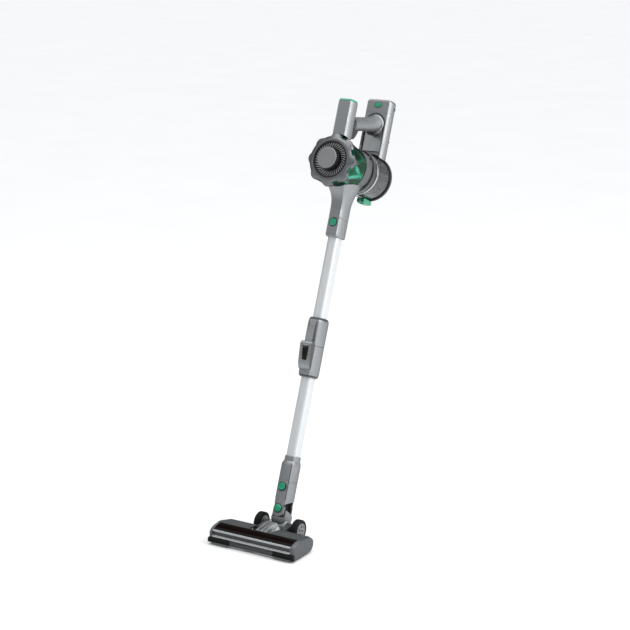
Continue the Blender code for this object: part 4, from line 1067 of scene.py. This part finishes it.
def swing_bore(radius=5.3, start=-30, end=30):
    return along_y(cylinder(radius, start, end), 0, SWING_Z)


def build_connector():
    shell = loft(stack(neck_section, (0, 10), (0, 60), (0, 90), (0, 103.2), (0.5, 104), (3, 104), (3, 10)),
        closed=True)
    shell = join(shell, loft(stack(neck_section, (0.4, 10.4), (0.4, 63))))
    between = box(14.6, (-19, 19), (0, 60))
    low_gap = box(30, (-19, 19), (0, SWING_Z))
    side_gap = curve([(-23.6, 46), (-21, 50), (-14, 54.2), (-4, 57), (12, 59.3), (27, 60.5)], 5) + [(27, 20)]
    side_gap += curve([(19, 27), (8, 33.5), (-4, 39), (-15, 43), (-23.6, 46)], 5)[:-1]
    side_gap = extrude(side_gap, -30, 30)
    side_gap = cut(side_gap, box(11.6, (-26, -18.9), (10, 70)), box(11.6, (18.9, 30), (10, 70)))
    duct = cylinder(12, 55, 70)
    below = [(x, SWING_Z - z) for x, z in arc(0, 0, 18.3, 0, 180, 40)]
    below = extrude_y([(30, SWING_Z)] + below + [(-30, SWING_Z), (-30, 0), (30, 0)], -40, 40)
    ear_room = box(30, (-18.9, -4), (40.5, 47.2))
    shell = cut(shell, between, low_gap, ear_room, side_gap, duct, below, swing_bore(),
        *button_bed(HEAD_BUTTON_Z, -23.2), swing_bore(11, -30, -24))
    beads = together(*[moved(cylinder(0.9, 62, 147, 16), side * 13.3, -21.1) for side in (-1, 1)])
    dark_trim_and_shade("connector_side_lines", beads, "lower_wand")
    piece("connector_lower_fine", shell, "gunmetal_plastic", "lower_wand", edge=0.5)


def build_collar_and_caps():
    piece("connector_upper_fine", socket_shell(), "gunmetal_plastic", "lower_wand", edge=0.35)
    cap = [(0, -0.2), (5.4, 0), (7.6, 0.5), (8.8, 1.4), (9.4, 2.6), (9.4, 3.8), (5, 3.8), (5, 15), (0, 15)]
    piece("pivot_cap_front_fine", along_y(turned(cap), 0, SWING_Z, -28.3), "green_plastic", "lower_wand")
    ring = along_y(turned([(9.6, 2), (10.4, 2), (10.9, 2.5), (10.9, 4.2), (9.6, 4.2)]), 0, SWING_Z, -28.3)
    dark_trim_and_shade("pivot_cap_ring", ring, "lower_wand", look="black_plastic")
    cap = turned([(0, 0), (5.6, 0.1), (8.2, 0.5), (9.6, 1.4), (10, 3), (5, 3), (5, 15), (0, 15)])
    mirrored(cap, (0, 0, 1))
    piece("pivot_cap_rear_fine", along_y(cap, 0, SWING_Z, 28.3), "gunmetal_plastic", "lower_wand")
    piece("head_button_fine", push_button(HEAD_BUTTON_Z, -25, 4.4), "green_plastic", "head_button",
        stands_for=["head_release_button"])
    dark_trim_and_shade("head_button_ring", button_ring(HEAD_BUTTON_Z, -25), "lower_wand", look="black_plastic")


def socket_shell():
    def collar(inset, z):
        return columned(16.2 - inset, 20 - inset, 10.8 - inset * 0.6, z, 10.5 - inset, 2.2)

    def bore(z):
        return section(13.8, 17.8, 10.8, z)

    return loft([*stack(neck_section, (0.5, 104.3), (0, 105), (0, 125), (0, 141), (0.4, 145), (1.3, 149),
        (2.4, 152)), *stack(collar, (0, 153.2), (0, 162.6), (0.3, 163.9), (1, 164.5)), bore(164.5),
        bore(112), *stack(neck_section, (3, 112), (3, 104.3))], closed=True)


def build_knuckle():
    barrel = along_x(turned([(0, -22), (16, -22), (17, -21), (17, -16.5), (16.4, -16), (16.4, -15),
        (17, -14.5), (17, 14.5), (16.4, 15), (16.4, 16), (17, 16.5), (17, 21), (16, 22), (0, 22)]), 0, 0)
    block = loft(stack(section, (18, 15, 8, 4), (18.2, 20, 10, 10.5), (18.3, 24, 11, 17),
        (18.3, 24.5, 11, 21.5)))
    knuckle = join(barrel, block)
    ears = []
    for side in (-1, 1):
        ear = extrude_y(arch(14.6, SWING_Z, 17), *span(side, 12.6, 18.6))
        ears.append(cut(ear, swing_bore()))
        fairing = curve([(-15.6, 38.9), (-12, 38.2), (-4, 35.6), (8, 31), (18.6, 25.6)], 5)
        fairing += [(18.6, 16), (-15.6, 16)]
        knuckle = join(knuckle, extrude(fairing, *span(side, 14.8, 17.5)))
    dark_trim_and_shade("knuckle_ears", together(*ears), "knuckle", edge=0.3)
    duct = along_y(cylinder(12, -30, 2), 0, 0)
    duct.transform(Matrix.Rotation(LEAN, 4, "X"))
    knuckle = cut(knuckle, swing_bore(), cylinder(12, -1, 60), duct, along_x(cylinder(3.3, -30, 30), 0, 0))
    piece("tilt_knuckle_fine", knuckle, "gunmetal_plastic", "knuckle", edge=0.5)


# ---------------------------------------------------------------- floor head
TUFTS = 62
TUFT_HALF = 1.25


def cap_outline(inset):
    front = -124.3 + inset * 1.3
    low, top = 1.3 + inset * 0.6, 42.3 - inset
    outline = [(-60, low)] + arc(-54, 20.5, 19.2 - inset, -90, 0, 16)
    outline += arc(-48.5, 21, 14 - inset, 12, 80, 12)
    outline += curve([(-60, top - 4.8), (-73, top - 1.4), (-86, top), (-100, top - 0.5), (-111, top - 3.2),
        (front + 5, top - 7), (front + 1.3, top - 11)], 4)
    return outline + [(front + 0.2, 28), (front, 26), (front + 0.2, 22), (front + 0.6, 19),
        (front + 3, 17.2), (front + 5, 17), (front + 5, low)]


def end_cap(side):
    steps = ((0.4, -10), (0, -9.5), (0, -6), (0.35, -4), (1.1, -2.4), (2.4, -1), (4.4, -0.2), (7, 0))
    rows = [[Vector((side * (HEAD_HALF + reach), y, z)) for y, z in cap_outline(inset)]
        for inset, reach in steps]
    hub_hole = along_x(cylinder(4.3, -4, 4), BRUSH_Y, BRUSH_Z, side * (HEAD_HALF - 10))
    return cut(loft(rows), hub_hole)


def head_wide(outline):
    """A (y, z) outline carried from one end cap to the other."""
    return extrude(outline, -HEAD_INNER, HEAD_INNER)


def build_chassis():
    outline = [(-80.2, 2.5), (-54, 2.5), (-44, 4.5), (-36.5, 9.5), (-33, 16), (-33, 23), (-35.5, 29.5)]
    outline += [(-37.7, 28.6), (-35.4, 22.5), (-35.4, 16.5), (-38.4, 11.2), (-45, 7), (-54.3, 5)]
    outline += [(-77.5, 5)] + arc(BRUSH_Y, BRUSH_Z, 20.8, -35, 66, 32)
    outline += arc(BRUSH_Y, BRUSH_Z, 18.6, 66, -35, 32)
    duct_hole = along_y(cylinder(10.4, 0, 20), 0, 22, -86)
    yoke_slot = box(37.8, (-48, -25), (3.6, 45))
    belt_slot = slab((-104.5, -97.5), (-82, -70), (6, 32))
    vents = [moved(box(1.0, (-72, -58), (1, 3.1)), x) for x in (*range(-94, -40, 6), *range(44, 98, 6))]
    chassis = cut(head_wide(outline), duct_hole, yoke_slot, belt_slot, together(*vents))
    piece("head_chassis_fine", chassis, "charcoal_plastic", "floor_head", edge=0.4)


def build_cover():
    """The top cover with an outline let in on each side, its wings and two accents."""
    cover = curve([(-88.5, 42), (-74, 41.4), (-60, 40), (-46, 37), (-39, 33.4)], 4)
    cover += [(-36.4, 30.5), (-38.6, 30.4), (-41, 32), (-47.5, 34.8), (-60.5, 37.6), (-88.5, 39.6)]
    nose_slot = box(29.3, (-86.5, -30), (25, 50))
    yoke_gap = box(37.8, (-48, -30), (25, 50))
    cover = cut(head_wide(cover), nose_slot, yoke_gap)
    for side, name in SIDES:
        low, high = span(side, 36, 96)
        line = [(low, -82), (high, -82), (high, -56), (low, -56)]
        inner = [(low + 1.1, -80.9), (high - 1.1, -80.9), (high - 1.1, -57.1), (low + 1.1, -57.1)]
        frame_line = cut(extrude_z(line, 39.9, 50), extrude_z(inner, 30, 60))
        cover = cut(cover, sloped(frame_line))
        trim = cut(extrude_z(line, 39.9, 44), extrude_z(inner, 30, 60))
        piece("cover_outline_" + name, sloped(trim, 0.62), "cap_grey", "floor_head", slot="charcoal_plastic")
    piece("head_top_cover_fine", cover, "charcoal_plastic", "floor_head", edge=0.3)
    for side, name in SIDES:
        wing = curve([(-89.5, 42.6), (-82, 42.5), (-73, 41.3), (-60, 38), (-52, 35.8), (-47, 35.2)], 5)
        wing = wing + [(y, z - 1.6) for y, z in reversed(wing)]
        piece("cover_wing_" + name, extrude(wing, *span(side, 105.4, 113.2)), "charcoal_plastic",
            "floor_head", edge=0.4)
    strips = []
    for side in (-1, 1):
        outline = [(side * 66 + x, y) for x, y in ((-24, -71.2), (24, -71.2), (24, -70.4), (-24, -70.4))]
        strips.append(extrude_z(outline, 40.2, 41.5))
    piece("head_cover_accents", together(*strips), "silver_plastic", "floor_head", edge=0.1)


def build_front():
    """The roller window, the frame with its two bars, the bumpers, the flap and the end caps."""
    window = curve([(-88.8, 42), (-95, 41.8), (-102, 40.9), (-110, 38.6), (-116.8, 35.4)], 4)
    window += curve([(-116.8, 33.4), (-109.3, 36.6), (-101.6, 38.8), (-94.6, 39.6), (-88.8, 39.7)], 4)
    piece("roller_window_fine", head_wide(window), "window_dark", "floor_head", edge=0.25)

    front = [(-117.3, 35.6), (-119.5, 35.9), (-120.6, 35.4), (-121.3, 34.3), (-121.3, 32.4), (-120.6, 31.2),
        (-119.4, 31)]
    front += [(-119.4, 24), (-121.8, 23.6), (-123.2, 22.8), (-123.8, 21.4), (-123.9, 19.2), (-123.2, 18),
        (-122, 17.5), (-119.6, 17.2)]
    front += [(-119.6, 4.4), (-121.4, 4.3), (-122.1, 3.4), (-122, 1.8), (-121.4, 1.3), (-113, 1.2),
        (-112.3, 3.2), (-117.2, 5), (-117.3, 33)]
    lip_gap = box(12.5, (-124, -110), (0, 3.4))
    piece("front_frame_fine", cut(head_wide(front), lip_gap), "silver_plastic", "floor_head", edge=0.35)
    gutter = box(HEAD_INNER, (-119.3, -120.3), (24.2, 30.8))
    piece("front_gutter", gutter, "black_plastic", "floor_head", slot="silver_plastic", edge=0.1)

    lip = curve([(-124, 4.8), (-126.3, 6.2), (-127.5, 8.6), (-127.6, 10.8), (-127.3, 13.6), (-126, 15.8),
        (-124, 16.8)], 3)
    bumper = [(-119.9, 4.8)] + lip + [(-119.9, 16.8)]
    ribs = [extrude([(-128.4, z), (-126.4, z + 0.3), (-126.4, z + 0.9), (-128.4, z + 1.2)], -120, 120)
        for z in (7.6, 9.8, 12)]
    for name, low, high in (("left", -HEAD_HALF, -60.5), ("right", 60.5, HEAD_HALF)):
        strip = cut(extrude(bumper, low, high), together(*[rib.copy() for rib in ribs]))
        piece("front_bumper_%s_fine" % name, strip, "black_rubber", "floor_head", edge=0.6)
    flap = [(-119.9, 4.8), (-121.6, 4.8), (-122.6, 6.4), (-123, 8.4), (-123, 13), (-122.6, 15),
        (-121.6, 16.8), (-119.9, 16.8)]
    teeth = [moved(box(0.35, (-124, -121.9), (4, 17.5)), x) for x in range(-56, 57, 4)]
    piece("front_flap_fine", cut(extrude(flap, -60.1, 60.1), together(*teeth)), "charcoal_plastic",
        "floor_head", edge=0.3)
    for side, name in SIDES:
        piece("end_cap_%s_fine" % name, end_cap(side), "cap_grey", "floor_head", angle=50)


def build_nose():
    rows = []
    shape = [(-86, 39.3, 42.2, 13, 8), (-80, 22.5, 43.8, 17, 9), (-60, 9.5, 46.2, 23, 9.5),
        (-40, 9.5, 47.5, 28, 12), (-32.4, 11, 46.3, 22.2, 13), (-20.5, 14, 36, 21.5, 12)]
    for y, low, high, wide, crown in curve(shape, 3):
        shoulder = low + (high - low) * 0.55
        bend = (wide * 0.62 + crown * 0.38, shoulder * 0.35 + high * 0.65)
        profile = [(wide, low), (wide, shoulder), bend, (crown, high - 0.4), (crown * 0.5, high - 0.1)]
        profile += [(-x, z) for x, z in reversed(profile)]
        rows.append([Vector((x, y, z)) for x, z in profile])
    nose = cut(loft(rows), along_x(cylinder(21.1, -40, 40), BRUSH_Y, BRUSH_Z),
        along_y(cylinder(11, 0, 74), 0, 23, -90))
    # The nose's colour carries painted reflection streaks
    piece("nose_cover_fine", nose, "streaked_silver", "floor_head", edge=0.5, angle=18)


def build_yoke():
    lug = [(-31.5, 10)] + arc(0, AXLE_HEIGHT, 10.5, -80, 90, 24) + [(-31.5, 33)]
    yoke = join(extrude(lug, -36.5, -22.6), extrude(lug, 22.6, 36.5), box(36.5, (-47, -26), (5.6, 9.2)))
    for side in (-1, 1):
        lift = slab(span(side, 29.6, 36.5), (-46.5, -30), (6, 33))
        stub = along_x(cylinder(3, 19.5, 58.5, 40), 0, AXLE_HEIGHT)
        if side < 0:
            mirrored(stub, (1, 0, 0))
        yoke = join(yoke, lift, stub)
    piece("wheel_yoke_fine", yoke, "charcoal_plastic", "floor_head", edge=0.5)


def sloped(mesh, height=0.0):
    """Bend a cutter or a trim down to the rear with the top cover, its low top a height above its bottom."""
    for vert in mesh.verts:
        if vert.co.z < 45:
            run = max(0.0, vert.co.y + 74)
            vert.co.z = 40.9 - 0.0018 * run * run - 0.06 * run + (height if vert.co.z > 42 else 0)
    return mesh


def wheel_tyre(wide):
    profile = curve([(20.4, -wide), (22.6, -wide + 0.4), (24.4, -wide + 1.8), (25, -wide + 3.6),
        (25, wide - 3.6), (24.4, wide - 1.8), (22.6, wide - 0.4), (20.4, wide)], 3)
    tyre = turned([(17.6, -wide), (18.6, -wide - 0.01)] + profile + [(18.6, wide + 0.01), (17.6, wide)], 120)
    grooves = [turned([(24.3, z), (26, z - 0.2), (26, z + 1.0), (24.3, z + 0.8)], 120)
        for z in (-4.6, -0.4, 3.8)]
    return cut(tyre, together(*grooves))


def wheel_hub(wide):
    dome = turned([(3.3, -wide), (17.3, -wide), (17.3, wide - 0.6), (16.8, wide - 0.1), (15.6, wide),
        (15, wide - 0.9), (14.4, wide - 0.9), (12, wide + 0.2), (8, wide + 1.2), (5.4, wide + 1.8),
        (3.3, wide + 2)], 96)
    windows = []
    for spoke in range(6):
        hollow = loft([[Vector((r * math.cos(a), r * math.sin(a), z))
            for r, a in ((6.6, -0.30), (13.6, -0.40), (14.0, 0), (13.6, 0.40), (6.6, 0.30))]
            for z in (wide - 1.4, wide + 4)])
        windows.append(turn(hollow, 60 * spoke + 12))
    back = turned([(4.5, wide - 1.9), (15, wide - 1.9), (15, wide - 1.5), (4.5, wide - 1.5)], 64)
    return cut(dome, together(*windows)), back


def build_wheels():
    for side, word in SIDES:
        place = 0, AXLE_HEIGHT, side * WHEEL_X
        tyre = along_x(wheel_tyre(WHEEL_HALF), *place)
        piece("wheel_tyre_%s_fine" % word, tyre, "black_rubber", "wheel_" + word, edge=0.2)
        hub, back = wheel_hub(WHEEL_HALF)
        for part in (hub, back):
            if side < 0:
                mirrored(part, (0, 0, 1))
        piece("wheel_hub_%s_fine" % word, along_x(hub, *place), "gunmetal_flat", "wheel_" + word,
            slot="silver_plastic", edge=0.25)
        piece("wheel_hub_back_" + word, along_x(back, *place), "cap_grey", "wheel_" + word,
            slot="silver_plastic")


def tuft(x, lean, tip):
    """A six-sided tuft of bristles, from the core out to its tip's radius."""
    rings = []
    for radius, size in ((11.2, TUFT_HALF * 0.55), (13.6, TUFT_HALF * 0.8), (tip, TUFT_HALF)):
        ring = []
        for corner in range(6):
            angle = math.tau * corner / 6
            around = lean + size * math.sin(angle) / radius
            y, z = BRUSH_Y + radius * math.cos(around), BRUSH_Z + radius * math.sin(around)
            ring.append(Vector((x + size * math.cos(angle), y, z)))
        rings.append(ring)
    return loft(rings)


def build_brush():
    """Four helical rows of bristle tufts on a core."""
    core = turned([(0, -108.5), (3.6, -108.5), (4, -108), (4, -104), (8.7, -104), (8.7, -98), (4, -98),
        (4, -96), (10.6, -96), (11, -95.5), (11, 103), (10.6, 103.5), (4, 103.5), (4, 108), (3.6, 108.5),
        (0, 108.5)], 64)
    piece("brush_core_fine", along_x(core, BRUSH_Y, BRUSH_Z), "charcoal_plastic", "brush_roll", edge=0.2)
    random.seed(7)
    tufts = []
    for row in range(4):
        for step in range(TUFTS):
            along = (step + 0.5) / TUFTS
            base = math.tau * (row / 4 + 0.75 * along + 0.0625)
            for shift in (-0.16, 0.0, 0.16):
                lean = base + shift + random.uniform(-0.03, 0.03)
                tip = 16.3 + random.uniform(-0.5, 0.4)
                tufts.append(tuft(-94.0 + (103.0 + 94.0) * along, lean, tip))
    piece("brush_bristles_fine", together(*tufts), "bristle_red", "brush_roll")


def build_hoses():
    hose = ribbed_hose(11.6, 10, 16, 66, 3.2)
    bent_piece("swing_hose_fine", hose)
    hose = ribbed_hose(11, 9.6, 403, 449, 3.0)
    bent_piece("fold_hose_fine", hose)


def build_pieces():
    build_exhaust()
    build_shell_and_filter()
    build_cup()
    build_latch()
    build_upright()
    build_grip()
    build_dock()
    build_battery()
    build_socket()
    build_neck_housing()
    build_tubes()
    build_fold_lower()
    build_fold_painted_shade()
    build_fold_upper()
    build_fold_button()
    build_connector()
    build_collar_and_caps()
    build_knuckle()
    build_chassis()
    build_cover()
    build_front()
    build_nose()
    build_yoke()
    build_wheels()
    build_brush()
    build_hoses()


# ---------------------------------------------------------------- carried-over CAD nodes
def dress_frame():
    """Materials, welded vertices and smooth shading for the CAD nodes that stay."""
    slots = {}
    for material in frame["record"]["materials"]:
        for node in material.get("nodes", []):
            slots[node] = material["slot"]
    for name, node in frame["nodes"].items():
        if node.hide_render:
            continue
        original = node.data.materials[0].name.split(".")[0] if node.data.materials else "charcoal_plastic"
        look = slots.get(name, original)
        look = look if look in LOOKS else "charcoal_plastic"
        node.data.materials.clear()
        node.data.materials.append(LOOKS[look])
        weld = node.modifiers.new("weld", "WELD")
        weld.merge_threshold = 0.00001
        node.data.shade_smooth()
        node.data.set_sharp_from_angle(angle=math.radians(35))


# ---------------------------------------------------------------- stage
MIDDLE = (0, -0.16, -0.43)
WORLD_STRENGTH = 0.3
KEY_POWER = 58
FILL_POWER = 4.5
SKY_POWER = 2.7


def put(name, data, place, target):
    """A light or camera at a place, looking at a target."""
    made = bpy.data.objects.new(name, data)
    bpy.context.collection.objects.link(made)
    made.location = place
    made.rotation_mode = "QUATERNION"
    made.rotation_quaternion = (Vector(target) - Vector(place)).to_track_quat("-Z", "Y")
    return made


def area_light(name, place, size, power):
    data = bpy.data.lights.new(name, "AREA")
    data.shape = "RECTANGLE"
    data.size, data.size_y = size
    data.energy = power
    put(name, data, place, MIDDLE)


def build_stage():
    look = Look("floor", 0.6, specular=0.2)
    look.colour(look.ramp(look.noise(3), ((0.3, (0.86, 0.865, 0.87)), (0.7, (0.88, 0.885, 0.89)))))
    floor = bmesh.new()
    bmesh.ops.create_grid(floor, x_segments=8, y_segments=8, size=60)
    floor.transform(Matrix.Translation((0, 0, FLOOR_Z * MM - 0.0004)))
    made = new_object("floor", floor)
    made.data.shade_smooth()
    made.data.materials.append(look.material)

    world = bpy.data.worlds.new("studio")
    bpy.context.scene.world = world
    world.use_nodes = True
    background = world.node_tree.nodes["Background"]
    background.inputs["Color"].default_value = (0.93, 0.95, 0.97, 1)
    background.inputs["Strength"].default_value = WORLD_STRENGTH

    area_light("key_right", (2.3, 0.4, 0.9), (1.3, 2.2), KEY_POWER)
    area_light("front_left", (-1.6, -2.6, 1.3), (1.2, 1.8), FILL_POWER)
    sky = bpy.data.lights.new("sky", "SUN")
    sky.energy = SKY_POWER
    sky.angle = math.radians(75)
    put("sky", sky, (0, 0, 0), (0, 0, -1))

    data = bpy.data.cameras.new("camera")
    data.lens = 96.4
    data.sensor_width = 36
    data.clip_start, data.clip_end = 0.05, 60
    bpy.context.scene.camera = put("camera", data, (2.0, -3.4532, 0.5351), (-0.027, -0.1565, -0.4361))


for thing in list(bpy.data.objects):
    if thing.type in ("LIGHT", "CAMERA") or thing.name == "Cube":
        bpy.data.objects.remove(thing)
bpy.context.scene.view_settings.view_transform = "Standard"
build_stage()
build_pieces()
dress_frame()
